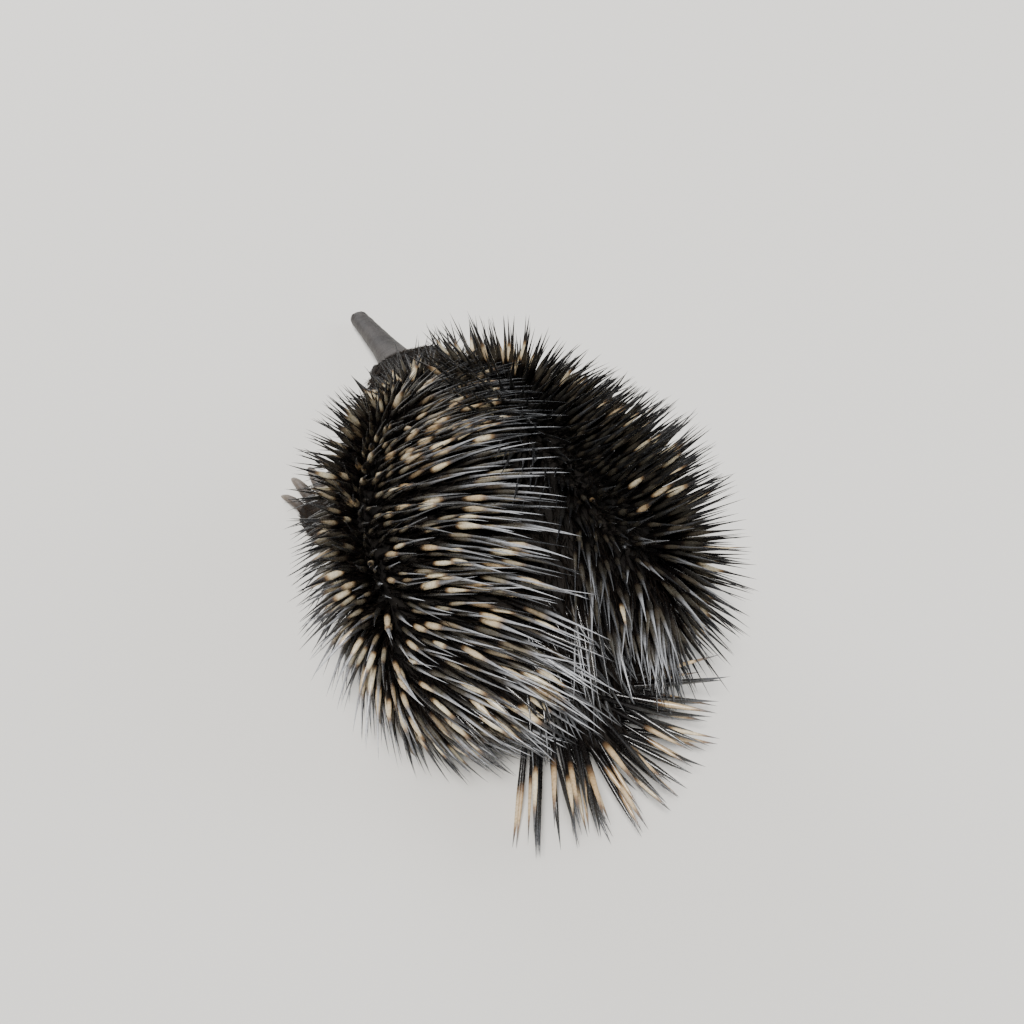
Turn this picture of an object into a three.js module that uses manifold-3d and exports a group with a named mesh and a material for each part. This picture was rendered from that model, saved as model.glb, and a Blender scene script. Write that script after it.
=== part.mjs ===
// Short-beaked echidna, life size, hunkered down with its head lowered.
// Millimetres, +Z up, the head toward -Y. The floor is z = 0.
// The body follows a gently bent plan curve; s runs along it from the rump (0)
// to the tip of the beak (318), psi goes round it from the spine (0) to the
// animal's right (+) and left (-).
import * as THREE from 'three';
import Module from 'manifold-3d';

const wasm = await Module();
wasm.setup();
const { Manifold, Mesh } = wasm;

// ------------------------------------------------------------ driving sizes
const DEG = Math.PI / 180;
const GAP = 0.36;              // clearance between neighbouring parts
const CENTRE = [-3.19, -30.22];   // plan offset that puts the middle of the part at X = Y = 0

const RUMP = 38;               // length of the rounded rump end
const NECK_FROM = 172;         // trunk ends, neck begins
const NECK_TO = 207;           // neck ends, head begins
const HEAD_TO = 256;           // head ends, beak begins
const TIP = 318;               // tip of the beak
const TIP_ROUND = 6;           // length of the rounded tip

// skin sections: station s, half width, height of the widest point, top, underside
const SECTIONS = [
  { s: 0, w: 64, zc: 46, zt: 98, zb: 9 },
  { s: 38, w: 72, zc: 44, zt: 106, zb: 7 },
  { s: 68, w: 79, zc: 44, zt: 114, zb: 6 },
  { s: 100, w: 79, zc: 44, zt: 114, zb: 6 },
  { s: 132, w: 73, zc: 43, zt: 107, zb: 7 },
  { s: 160, w: 61, zc: 42, zt: 94, zb: 10 },
  { s: 184, w: 46, zc: 38, zt: 77, zb: 12 },
  { s: 205, w: 35, zc: 34, zt: 61, zb: 12.5 },
  { s: 226, w: 29, zc: 29, zt: 51, zb: 12 },
  { s: 242, w: 22, zc: 25.5, zt: 42, zb: 11.5 },
  { s: 256, w: 11.5, zc: 21.5, zt: 31, zb: 12.5 },
  { s: 270, w: 8.2, zc: 18.5, zt: 25, zb: 12 },
  { s: 294, w: 6.3, zc: 13, zt: 18, zb: 8.2 },
  { s: 312, w: 5.3, zc: 9, zt: 12.9, zb: 5.2 },
  { s: 318, w: 4.6, zc: 7.8, zt: 11, zb: 4.6 },
];
// heading of the plan curve, degrees counter-clockwise from -Y
const HEADING = [[0, 12], [25, 4], [60, -5], [110, -2], [170, 6], [220, 10], [318, 12]];

// coat depth over the skin
const COAT = { left: 22.5, right: 29.5, shoulder: 13, hip: 36, neck: 26, crown: 7, cheek: 3.2, belly: 4.6, rump: 25 };
const RIDGE = { from: 60, to: 150, psi: 52, lift: 8, reach: 26 };  // parting of the quills on each side
const TUFT = { height: 10, lean: 6.5 };                            // relief of the quill tips

// limbs, in (s, distance to the side, z)
const FORE = { shoulder: [150, 44, 34], elbow: [158, 66, 25], wrist: [173, 69, 13], toe: [194, 69], reach: 21.5, r: [15, 12.5, 9.5] };
const HIND = { hip: [80, 43, 34], knee: [75, 63, 25], ankle: [66, 60, 12], toe: [42, 56], reach: 24, r: [17, 13.5, 9.5] };
const FORE_FOOT = { w: 16, h: 14.5, heel: 12, reach: 12 };
const HIND_FOOT = { w: 13.5, h: 13.5, heel: 13, reach: 12 };
// claws: side place across the foot (-1..1), spread angle, length, half width, half height at the root
const FORE_CLAWS = [[-0.80, -20, 15, 2.6, 2.2], [-0.42, -9, 21, 3.1, 2.5], [0.0, 0, 23.5, 3.3, 2.6], [0.42, 9, 21, 3.1, 2.5], [0.80, 20, 15, 2.6, 2.2]];
const HIND_CLAWS = [[-0.80, -32, 9, 2.0, 1.9], [-0.40, -13, 28, 2.5, 2.4], [0.02, -1, 24, 2.3, 2.2], [0.42, 12, 13, 2.1, 2.0], [0.80, 26, 9, 1.9, 1.8]];

const EYE = { s: 246, psi: 62, r: 4.3, sunk: 3.4 };
const EAR = { s: 222, psi: 84, high: 15, wide: 6.4, stand: 4.2, slit: 1.5 };
const TAIL = { s: 8, side: 11, z: 31, turn: 13, pitch: -16, root: 14, length: 54, w: 51, h: 15 };

// ------------------------------------------------------------ small maths
const clamp = (x, a, b) => Math.min(b, Math.max(a, x));
const lerp = (a, b, t) => a + (b - a) * t;
const smooth = (a, b, x) => { const t = clamp((x - a) / (b - a), 0, 1); return t * t * (3 - 2 * t); };
const V = (x, y, z) => new THREE.Vector3(x, y, z);

// monotone cubic through the rows of a table
function curveThrough(rows, xOf, yOf) {
  const x = rows.map(xOf), y = rows.map(yOf), n = x.length, m = new Array(n).fill(0), d = [];
  for (let i = 0; i < n - 1; i++) d.push((y[i + 1] - y[i]) / (x[i + 1] - x[i]));
  for (let i = 1; i < n - 1; i++) m[i] = d[i - 1] * d[i] > 0 ? 2 * d[i - 1] * d[i] / (d[i - 1] + d[i]) : 0;
  m[0] = d[0]; m[n - 1] = d[n - 2];
  return (q) => {
    q = clamp(q, x[0], x[n - 1]);
    let i = 0;
    while (i < n - 2 && q > x[i + 1]) i++;
    const h = x[i + 1] - x[i], t = (q - x[i]) / h, t2 = t * t, t3 = t2 * t;
    return (2 * t3 - 3 * t2 + 1) * y[i] + (t3 - 2 * t2 + t) * h * m[i] + (-2 * t3 + 3 * t2) * y[i + 1] + (t3 - t2) * h * m[i + 1];
  };
}
const W = curveThrough(SECTIONS, (r) => r.s, (r) => r.w);
const ZC = curveThrough(SECTIONS, (r) => r.s, (r) => r.zc);
const ZT = curveThrough(SECTIONS, (r) => r.s, (r) => r.zt);
const ZB = curveThrough(SECTIONS, (r) => r.s, (r) => r.zb);

// plan curve, summed in 1 mm steps and set to zero at s = 100
const heading = (s) => {
  let i = 0;
  while (i < HEADING.length - 2 && s > HEADING[i + 1][0]) i++;
  const [a, b] = [HEADING[i], HEADING[i + 1]];
  return lerp(a[1], b[1], clamp((s - a[0]) / (b[0] - a[0]), 0, 1)) * DEG;
};
const PLAN = [[0, 0]];
for (let s = 1; s <= TIP; s++) {
  const h = heading(s - 0.5), p = PLAN[s - 1];
  PLAN.push([p[0] + Math.sin(h), p[1] - Math.cos(h)]);
}
const PLAN0 = PLAN[100].slice();
for (const p of PLAN) { p[0] -= PLAN0[0] + CENTRE[0]; p[1] -= PLAN0[1] + CENTRE[1]; }

// place: s along the plan curve (beyond its ends in a straight line), side to the
// animal's right, z up
function place(s, side, z) {
  const q = clamp(s, 0, TIP), i = Math.min(TIP - 1, Math.floor(q)), t = q - i, h = heading(q);
  const x = lerp(PLAN[i][0], PLAN[i + 1][0], t) + Math.sin(h) * (s - q);
  const y = lerp(PLAN[i][1], PLAN[i + 1][1], t) - Math.cos(h) * (s - q);
  return V(x - Math.cos(h) * side, y - Math.sin(h) * side, z);
}
const forwardAt = (s) => V(Math.sin(heading(clamp(s, 0, TIP))), -Math.cos(heading(clamp(s, 0, TIP))), 0);
const rightAt = (s) => V(-Math.cos(heading(clamp(s, 0, TIP))), -Math.sin(heading(clamp(s, 0, TIP))), 0);

// ------------------------------------------------------------ the skin surface
const signPow = (x, p) => Math.sign(x) * Math.abs(x) ** p;
function skin(s, psi) {
  let cap = 1;
  if (s < RUMP) cap = Math.sqrt(Math.max(0, 1 - ((RUMP - s) / RUMP) ** 2));
  if (s > TIP - TIP_ROUND) cap = Math.sqrt(Math.max(0, 1 - ((s - TIP + TIP_ROUND) / TIP_ROUND) ** 2));
  const c = Math.cos(psi), n = Math.sin(psi);
  const up = c >= 0 ? (ZT(s) - ZC(s)) * Math.abs(c) ** 0.95 : -(ZC(s) - ZB(s)) * Math.abs(c) ** 0.8;
  return place(s, W(s) * cap * signPow(n, 0.9), ZC(s) + up * cap);
}
// rows of the rump are even in angle, the others even in length
const rowToS = (v) => (v < 1 ? RUMP * (1 - Math.cos(v * Math.PI / 2)) : RUMP + (v - 1) * RUMP * Math.PI / 2);
const sToRow = (s) => (s < RUMP ? Math.acos(1 - s / RUMP) / (Math.PI / 2) : 1 + (s - RUMP) / (RUMP * Math.PI / 2));
function skinNormal(s, psi) {
  const v = sToRow(clamp(s, 0, TIP - 0.05));
  if (v < 0.02) return forwardAt(0).negate();
  const dv = 0.012, dp = 2.2 * DEG;
  const a = skin(rowToS(v - dv), psi), b = skin(Math.min(TIP, rowToS(v + dv)), psi);
  const c = skin(rowToS(v), psi - dp), d = skin(rowToS(v), psi + dp);
  const n = b.sub(a).cross(d.sub(c)).normalize();
  const out = skin(rowToS(v), psi).sub(place(rowToS(v), 0, ZC(s)));
  return n.dot(out) < 0 ? n.negate() : n;
}

// ------------------------------------------------------------ the coat
// the way the quills lie: away from the parting line of their own side
function lie(s, psi, n) {
  const side = psi > 8 * DEG ? 1 : -1;
  const root = skin(clamp(s, RIDGE.from, RIDGE.to), side * RIDGE.psi * DEG);
  const t = skin(s, psi).sub(root);
  const away = t.length();
  t.addScaledVector(n, -t.dot(n));
  if (t.length() < 1e-3) t.copy(forwardAt(s).negate());
  return { t: t.normalize(), away };
}
function coatDepth(s, psi) {
  const a = Math.abs(psi / DEG);
  const side = smooth(-22, 22, psi / DEG), slope = smooth(20, 52, psi / DEG);
  // on the right the quills lie flatter over the shoulder and stand longer over the hip
  const flat = smooth(95, 150, s) * slope;
  let d = lerp(COAT.left, lerp(COAT.right, COAT.hip, smooth(95, 50, s) * smooth(35, 70, a)), side);
  d = lerp(d, COAT.shoulder, flat);
  const root = skin(clamp(s, RIDGE.from, RIDGE.to), (psi > 0 ? 1 : -1) * RIDGE.psi * DEG);
  const away = skin(s, psi).distanceTo(root) / RIDGE.reach;
  d += RIDGE.lift * Math.exp(-away * away) * (1 - 0.8 * flat);
  d = lerp(d, COAT.rump, smooth(28, 0, s) * 0.8);
  d = lerp(d, lerp(COAT.neck, COAT.shoulder, slope), smooth(140, 175, s));
  d = lerp(d, COAT.crown, smooth(178, 214, s));
  d = lerp(d, lerp(COAT.crown, COAT.cheek, smooth(30, 75, a)), smooth(206, 222, s));
  d = lerp(d, 0.5, smooth(236, HEAD_TO, s));
  const under = lerp(smooth(104, 142, a), smooth(88, 120, a), smooth(150, 200, s));
  return lerp(d, Math.min(d, COAT.belly), under);
}
// one class in three of the grid points stands up as the tip of a tuft of quills
function coatPoint(s, psi, tip, grow = 0) {
  const n = skinNormal(s, psi), depth = coatDepth(s, psi);
  // the relief is finer round the rump, where the columns draw together
  const k = smooth(7, 22, depth) * lerp(0.35, 1, smooth(0, 30, s));
  const p = skin(s, psi).addScaledVector(n, depth + grow + (tip ? 0.45 : -0.35) * TUFT.height * k);
  if (tip) p.addScaledVector(lie(s, psi, n).t, TUFT.lean * k);
  const low = 1.6 - (grow ? 1.2 : 0);
  if (p.z < low) p.z = low;
  return p;
}

// ------------------------------------------------------------ solids
function solidFrom(points, tris) {
  const vp = new Float32Array(points.length * 3);
  points.forEach((p, i) => { vp[3 * i] = p.x; vp[3 * i + 1] = p.y; vp[3 * i + 2] = p.z; });
  let vol = 0;
  for (const [a, b, c] of tris) vol += points[a].dot(points[b].clone().cross(points[c]));
  const tv = new Uint32Array(tris.length * 3);
  tris.forEach(([a, b, c], i) => { tv[3 * i] = a; tv[3 * i + 1] = vol > 0 ? b : c; tv[3 * i + 2] = vol > 0 ? c : b; });
  return new Manifold(new Mesh({ numProp: 3, vertProperties: vp, triVerts: tv }));
}
// rings of equal count joined into a closed skin; each end is a point or a flat cap
function loft(rings, { startPoint = null, endPoint = null, stagger = false } = {}) {
  const n = rings[0].length, pts = [], tris = [];
  for (const r of rings) for (const p of r) pts.push(p);
  const id = (j, i) => j * n + ((i % n) + n) % n;
  for (let j = 0; j < rings.length - 1; j++) {
    for (let i = 0; i < n; i++) {
      if (stagger && j % 2 === 1) {
        tris.push([id(j, i), id(j + 1, i + 1), id(j + 1, i)], [id(j, i), id(j, i + 1), id(j + 1, i + 1)]);
      } else {
        tris.push([id(j, i), id(j, i + 1), id(j + 1, i)], [id(j + 1, i), id(j, i + 1), id(j + 1, i + 1)]);
      }
    }
  }
  const cap = (j, point, flip) => {
    const c = point ? point.clone() : rings[j].reduce((a, p) => a.add(p), V(0, 0, 0)).multiplyScalar(1 / n);
    const k = pts.push(c) - 1;
    for (let i = 0; i < n; i++) tris.push(flip ? [k, id(j, i + 1), id(j, i)] : [k, id(j, i), id(j, i + 1)]);
  };
  cap(0, startPoint, true);
  cap(rings.length - 1, endPoint, false);
  return solidFrom(pts, tris);
}
const box = (x0, y0, z0, x1, y1, z1) => {
  const r = (z) => [V(x0, y0, z), V(x1, y0, z), V(x1, y1, z), V(x0, y1, z)];
  return loft([r(z0), r(z1)]);
};
// everything of the body from station a to station b
function slab(a, b, wide = 190) {
  const ring = (s) => [place(s, -wide, -30), place(s, wide, -30), place(s, wide, 260), place(s, -wide, 260)];
  return loft([ring(a), ring(b)]);
}
const biggest = (m) => m.decompose().sort((p, q) => q.volume() - p.volume())[0];

// round section along a line of centres; radii across and up
function limb(centres, radii, { sides = 14, per = 3, grow = 0, up = V(0, 0, 1), roundEnd = false } = {}) {
  const path = new THREE.CatmullRomCurve3(centres, false, 'centripetal');
  const rings = [], steps = (centres.length - 1) * per;
  for (let k = 0; k <= steps; k++) {
    const t = k / steps, c = path.getPoint(t), tan = path.getTangent(t);
    const side = tan.clone().cross(up).normalize(), top = side.clone().cross(tan).normalize();
    const f = t * (radii.length - 1), i = Math.min(radii.length - 2, Math.floor(f));
    const ra = lerp(radii[i][0], radii[i + 1][0], f - i) + grow, rb = lerp(radii[i][1], radii[i + 1][1], f - i) + grow;
    if (k === 0) c.addScaledVector(tan, -grow);
    if (k === steps) c.addScaledVector(tan, grow);
    const ring = [];
    for (let i2 = 0; i2 < sides; i2++) {
      const a = (i2 + 0.5) / sides * 2 * Math.PI;
      ring.push(c.clone().addScaledVector(side, ra * Math.cos(a)).addScaledVector(top, rb * Math.sin(a)));
    }
    rings.push(ring);
  }
  const endPoint = roundEnd ? path.getPoint(1).addScaledVector(path.getTangent(1), radii[radii.length - 1][0] * 0.6 + grow) : null;
  return loft(rings, { endPoint });
}

// coat shell from the rump pole to station `to`
function coatShell(to, grow = 0) {
  const COLS = 39, VSTEP = 0.172, rings = [];
  let j = 0;
  for (let v = 0.2; ; v += VSTEP, j++) {
    const s = Math.min(rowToS(v), to), ring = [];
    for (let i = 0; i < COLS; i++) {
      const psi = ((i + (j % 2) * 0.5) / COLS * 360 - 180) * DEG;
      const tip = (((i - Math.floor(j / 2) - j) % 3) + 3) % 3 === 0;
      ring.push(coatPoint(s, psi, tip && s < to, grow));
    }
    rings.push(ring);
    if (s >= to) break;
  }
  const pole = skin(0, 0).addScaledVector(skinNormal(0, 0), COAT.rump + grow);
  return loft(rings, { startPoint: pole, stagger: true });
}

// smooth skin or short-coated surface between two stations
function surface(a, b, step, cols, depth, grow = 0) {
  const rings = [], n = Math.max(2, Math.round((b - a) / step));
  for (let k = 0; k <= n; k++) {
    let s = lerp(a, b, k / n);
    if (b >= TIP) s = Math.min(s, TIP - 0.12);
    const ring = [];
    for (let i = 0; i < cols; i++) {
      const psi = ((i / cols) * 360 - 180) * DEG;
      ring.push(skin(s, psi).addScaledVector(skinNormal(s, psi), depth(s, psi) + grow));
    }
    rings.push(ring);
  }
  return loft(rings);
}

// ------------------------------------------------------------ build
const parts = {};

// trunk and neck: one coat outline, parted with a thin cut
const shell = coatShell(226);
parts.trunk = shell.intersect(slab(-120, NECK_FROM));
parts.neck = shell.intersect(slab(NECK_FROM + GAP, NECK_TO));

// head: short coat, with the crown spines running onto it
const headCoat = (s, psi) => Math.max(0.4, Math.min(coatDepth(s, psi), 9));
parts.head = surface(NECK_TO + GAP, HEAD_TO, 5, 30, headCoat);

// beak: bare, with a short slit of a mouth at the tip and two nostrils on top
const beakRings = [];
for (const s of [HEAD_TO + GAP, 260, 265, 271, 278, 286, 295, 304, 311, 314.4, 316.6, 317.7]) {
  const ring = [];
  for (let i = 0; i < 20; i++) ring.push(skin(s, ((i / 20) * 360 - 180) * DEG));
  beakRings.push(ring);
}
let beak = loft(beakRings, { endPoint: skin(TIP, 0) });
{
  const m0 = 308, mz = 7.1;
  const mouth = loft([m0, 313, 322].map((s, k) => {
    const w = [1.2, 3.2, 5.2][k], h = [0.16, 0.4, 0.62][k];
    return [place(s, -w, mz - h), place(s, w, mz - h), place(s, w, mz + h), place(s, -w, mz + h)];
  }));
  beak = beak.subtract(mouth);
  for (const q of [-1, 1]) {
    const c = skin(313.2, q * 34 * DEG), n = skinNormal(313.2, q * 34 * DEG), f = forwardAt(313);
    const rings = [-1, 1].map((d) => {
      const r = [];
      for (let i = 0; i < 8; i++) {
        const a = i / 8 * 2 * Math.PI, side = n.clone().cross(f).normalize();
        r.push(c.clone().addScaledVector(n, d * 0.9).addScaledVector(f, 1.15 * Math.cos(a)).addScaledVector(side, 0.55 * Math.sin(a)));
      }
      return r;
    });
    beak = beak.subtract(loft(rings));
  }
}
parts.beak = biggest(beak);

// eyes in open sockets of the head
const eyeBall = (q, r) => {
  const c = skin(EYE.s, q * EYE.psi * DEG).addScaledVector(skinNormal(EYE.s, q * EYE.psi * DEG), headCoat(EYE.s, EYE.psi * DEG) - EYE.sunk);
  const axis = skinNormal(EYE.s, q * EYE.psi * DEG), side = axis.clone().cross(V(0, 0, 1)).normalize(), up = side.clone().cross(axis);
  const rings = [];
  const N = 8;
  for (let k = 1; k < N; k++) {
    const b = Math.PI * k / N - Math.PI / 2, ring = [];
    for (let i = 0; i < 14; i++) {
      const a = i / 14 * 2 * Math.PI;
      ring.push(c.clone().addScaledVector(axis, r * Math.sin(b)).addScaledVector(side, r * Math.cos(b) * Math.cos(a)).addScaledVector(up, r * Math.cos(b) * Math.sin(a)));
    }
    rings.push(ring);
  }
  return loft(rings, { startPoint: c.clone().addScaledVector(axis, -r), endPoint: c.clone().addScaledVector(axis, r) });
};
// ears: an upright half-moon rim round a narrow slit
const earSolid = (q, grow) => {
  const a = q * EAR.psi * DEG, n = skinNormal(EAR.s, a), c = skin(EAR.s, a).addScaledVector(n, headCoat(EAR.s, a));
  const f = forwardAt(EAR.s), up = n.clone().cross(f).normalize();
  if (up.z < 0) up.negate();
  const fore = up.clone().cross(n).normalize();
  if (fore.dot(f) < 0) fore.negate();
  const rings = [];
  for (const [d, k] of [[-3.2 - grow, 1], [0.4, 1], [EAR.stand * 0.7, 0.86], [EAR.stand + grow, 0.6]]) {
    const ring = [];
    for (let i = 0; i < 18; i++) {
      const t = i / 18 * 2 * Math.PI;
      ring.push(c.clone().addScaledVector(n, d)
        .addScaledVector(up, (EAR.high / 2 * k + grow) * Math.cos(t))
        .addScaledVector(fore, (EAR.wide / 2 * k + grow) * Math.sin(t) - 0.18 * d + 1.6 * (Math.cos(t) ** 2)));
    }
    rings.push(ring);
  }
  let m = loft(rings);
  if (grow === 0) {
    const w = EAR.slit / 2, h = EAR.high * 0.3;
    const corner = (d, u, v) => c.clone().addScaledVector(n, d).addScaledVector(up, u).addScaledVector(fore, v + 0.5);
    m = m.subtract(loft([0.8, EAR.stand + 3].map((d) => [corner(d, -h, -w), corner(d, h, -w), corner(d, h, w), corner(d, -h, w)])));
  }
  return m;
};
for (const [tag, q] of [['l', -1], ['r', 1]]) {
  parts[`eye_${tag}`] = eyeBall(q, EYE.r);
  parts.head = parts.head.subtract(eyeBall(q, EYE.r + GAP));
  parts[`ear_${tag}`] = earSolid(q, 0);
  parts.head = parts.head.subtract(earSolid(q, GAP));
}

// limbs: tapered rounded lengths joined at the joints
function roundedLength(from, to, r0, r1, grow) {
  const SIDES = 11, axis = to.clone().sub(from).normalize();
  const side = axis.clone().cross(Math.abs(axis.z) > 0.9 ? V(0, 1, 0) : V(0, 0, 1)).normalize(), top = side.clone().cross(axis);
  const rings = [];
  for (const [c, r, angles] of [[from, r0 + grow, [-52, 0]], [to, r1 + grow, [0, 30, 60]]]) {
    for (const b of angles) {
      const ring = [];
      for (let i = 0; i < SIDES; i++) {
        const a = i / SIDES * 2 * Math.PI;
        ring.push(c.clone().addScaledVector(axis, r * Math.sin(b * DEG))
          .addScaledVector(side, r * Math.cos(b * DEG) * Math.cos(a)).addScaledVector(top, r * Math.cos(b * DEG) * Math.sin(a)));
      }
      rings.push(ring);
    }
  }
  return loft(rings, { startPoint: from.clone().addScaledVector(axis, -r0 - grow), endPoint: to.clone().addScaledVector(axis, r1 + grow) });
}
function leg(L, q, grow) {
  const c = ['shoulder', 'elbow', 'wrist', 'hip', 'knee', 'ankle'].filter((k) => L[k]).map((k) => place(L[k][0], q * L[k][1], L[k][2]));
  return roundedLength(c[0], c[1], L.r[0], L.r[1], grow).add(roundedLength(c[1], c[2], L.r[1], L.r[2], grow));
}
function footFrame(L, q) {
  const a = L.wrist || L.ankle, root = place(a[0], q * a[1], 0);
  const dir = place(L.toe[0], q * L.toe[1], 0).sub(root).normalize();
  const toe = root.clone().addScaledVector(dir, L.reach);
  return { root, toe, dir, side: dir.clone().cross(V(0, 0, 1)).normalize().multiplyScalar(q) };
}
function foot(L, F, q, grow) {
  const { root, toe, dir, side } = footFrame(L, q);
  const from = -F.heel, to = toe.distanceTo(root) - 2;
  const rings = [];
  for (const [t, w, h] of [[0, 0.42, 0.5], [0.1, 0.7, 0.8], [0.28, 0.88, 1], [0.55, 0.98, 0.98], [0.8, 1, 0.84], [0.94, 0.86, 0.68], [1, 0.6, 0.5]]) {
    const c = root.clone().addScaledVector(dir, lerp(from - grow, to + grow, t));
    const ring = [];
    for (let i = 0; i < 18; i++) {
      const a = (i + 0.5) / 18 * 2 * Math.PI, zc = F.h * 0.36;
      const y = (F.w * w + grow) * signPow(Math.cos(a), 0.85);
      const z = Math.sin(a) > 0 ? zc + (F.h * h - zc + grow) * Math.sin(a) ** 0.9 : zc + (zc + 1.6 + grow) * signPow(Math.sin(a), 0.8);
      ring.push(c.clone().addScaledVector(side, y).setZ(z));
    }
    rings.push(ring);
  }
  const m = loft(rings);
  return grow ? m : m.subtract(box(-300, -300, -40, 300, 300, 0));
}
function claw(L, F, q, row, grow, hind) {
  const { root, toe, dir, side } = footFrame(L, q);
  const [place1, spread, length, w, h] = row;
  const front = toe.distanceTo(root) - 2 - F.reach * 0.5 - Math.abs(place1) ** 2 * 5.5;
  const base = root.clone().addScaledVector(dir, front).addScaledVector(side, place1 * F.w * 0.92).setZ(6.4);
  // dorsal ridge of the claws of the hind foot sweeps outwards
  const centres = [], n = 5;
  const total = length + 8;
  let heading1 = spread * DEG;
  const p = base.clone();
  for (let k = 0; k <= n; k++) {
    centres.push(p.clone());
    const d = dir.clone().multiplyScalar(Math.cos(heading1)).addScaledVector(side, Math.sin(heading1));
    p.addScaledVector(d, total / n);
    p.z = lerp(6.4, 1.55, ((k + 1) / n) ** (hind ? 1.3 : 1.6)) + 1.9 * Math.sin(Math.PI * Math.min(1, (k + 1) / n) * 0.9);
    if (hind) heading1 += (place1 < 0.2 ? 5.5 : 3) * DEG;
  }
  const radii = [1, 1, 0.94, 0.82, 0.62, hind ? 0.2 : 0.34].map((f) => [Math.max(0.3, w * f), Math.max(0.3, h * f * (hind ? 1 : 0.86))]);
  return limb(centres, radii, { sides: 8, per: 1, grow, roundEnd: true });
}
for (const [tag, q] of [['l', -1], ['r', 1]]) {
  for (const [name, L, F, rows] of [['fore', FORE, FORE_FOOT, FORE_CLAWS], ['hind', HIND, HIND_FOOT, HIND_CLAWS]]) {
    const f = foot(L, F, q, 0), fg = foot(L, F, q, GAP);
    const lg = leg(L, q, 0);
    parts[`${name}leg_${tag}`] = biggest(lg.subtract(fg));
    parts.trunk = parts.trunk.subtract(leg(L, q, GAP)).subtract(fg);
    parts.neck = parts.neck.subtract(leg(L, q, GAP)).subtract(fg);
    rows.forEach((row, i) => {
      const c = claw(L, F, q, row, 0, name === 'hind'), cg = claw(L, F, q, row, GAP, name === 'hind');
      parts[`claw_${name[0]}${tag}_${i + 1}`] = biggest(c.subtract(fg));
      parts.trunk = parts.trunk.subtract(cg);
      parts.neck = parts.neck.subtract(cg);
    });
    parts[`${name}foot_${tag}`] = f;
  }
}
parts.trunk = biggest(parts.trunk);
parts.neck = biggest(parts.neck);
parts.head = biggest(parts.head);

// tail: a short stub whose quills fan out low behind the rump
{
  const root = place(TAIL.s, TAIL.side, TAIL.z);
  const h = heading(0) + TAIL.turn * DEG, back = V(-Math.sin(h), Math.cos(h), Math.tan(TAIL.pitch * DEG)).normalize();
  const side = back.clone().cross(V(0, 0, 1)).normalize(), up = side.clone().cross(back);
  const rings = [];
  const R = 9, N = 24;
  for (let k = 0; k <= R; k++) {
    const t = k / R, ring = [];
    const w = lerp(TAIL.root, TAIL.w, smooth(0.02, 0.62, t)) * Math.sqrt(Math.max(0.02, 1 - Math.max(0, (t - 0.55) / 0.47) ** 2));
    const hh = lerp(TAIL.root, TAIL.h, smooth(0, 0.4, t)) * Math.sqrt(Math.max(0.03, 1 - Math.max(0, (t - 0.35) / 0.67) ** 2));
    for (let i = 0; i < N; i++) {
      const a = (i + (k % 2) * 0.5) / N * 2 * Math.PI;
      const tip = (((i - Math.floor(k / 2) - k) % 3) + 3) % 3 === 0 && t > 0.25 && k < R;
      const fan = tip ? 1.13 : 0.95;
      const p = root.clone().addScaledVector(back, TAIL.length * t + (tip ? 7.5 : 0))
        .addScaledVector(side, w * fan * Math.cos(a)).addScaledVector(up, hh * fan * Math.sin(a));
      p.z = Math.max(p.z, 1.8);
      ring.push(p);
    }
    rings.push(ring);
  }
  let tail = loft(rings, { stagger: true, endPoint: root.clone().addScaledVector(back, TAIL.length + 5) });
  tail = tail.subtract(coatShell(226, 0.55));
  for (const [t2, q] of [['l', -1], ['r', 1]]) {
    tail = tail.subtract(foot(HIND, HIND_FOOT, q, GAP)).subtract(leg(HIND, q, GAP));
    HIND_CLAWS.forEach((row) => { tail = tail.subtract(claw(HIND, HIND_FOOT, q, row, GAP, true)); });
  }
  parts.tail = biggest(tail);
}

// ------------------------------------------------------------ colours and the group
const LOOK = {
  coat: { color: 0x2b231c, roughness: 0.62, metalness: 0 },
  fur: { color: 0x32281f, roughness: 0.85, metalness: 0 },
  beak: { color: 0x2a2624, roughness: 0.5, metalness: 0 },
  eye: { color: 0x060505, roughness: 0.08, metalness: 0 },
  claw: { color: 0x3d3833, roughness: 0.38, metalness: 0 },
};
const lookOf = (name) => {
  if (/^(trunk|neck|tail)$/.test(name)) return LOOK.coat;
  if (name === 'beak') return LOOK.beak;
  if (name.startsWith('eye')) return LOOK.eye;
  if (name.startsWith('claw')) return LOOK.claw;
  return LOOK.fur;
};
const group = new THREE.Group();
group.name = 'echidna';
for (const [name, solid] of Object.entries(parts)) {
  const m = solid.getMesh();
  const g = new THREE.BufferGeometry();
  const pos = new Float32Array(m.numVert * 3);
  for (let i = 0; i < m.numVert; i++) for (let k = 0; k < 3; k++) pos[3 * i + k] = m.vertProperties[i * m.numProp + k];
  g.setAttribute('position', new THREE.BufferAttribute(pos, 3));
  g.setIndex(new THREE.BufferAttribute(new Uint32Array(m.triVerts), 1));
  g.computeVertexNormals();
  const mesh = new THREE.Mesh(g, new THREE.MeshStandardMaterial(lookOf(name)));
  mesh.name = name;
  group.add(mesh);
}

export default group;
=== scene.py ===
"""Short-beaked echidna, life size: one skin, horn claws, eyes, quills and fur.

All shapes are worked out in millimetres in the frame of the solids and turned
into metres when a mesh is made. The body follows a bent plan curve: s runs from
the rump (0) to the tip of the beak (318), psi goes round it from the spine (0)
to the animal's right (+) and left (-).
"""
import bpy
import bmesh
import math
import numpy as np
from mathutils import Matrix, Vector
from mathutils.bvhtree import BVHTree


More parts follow.
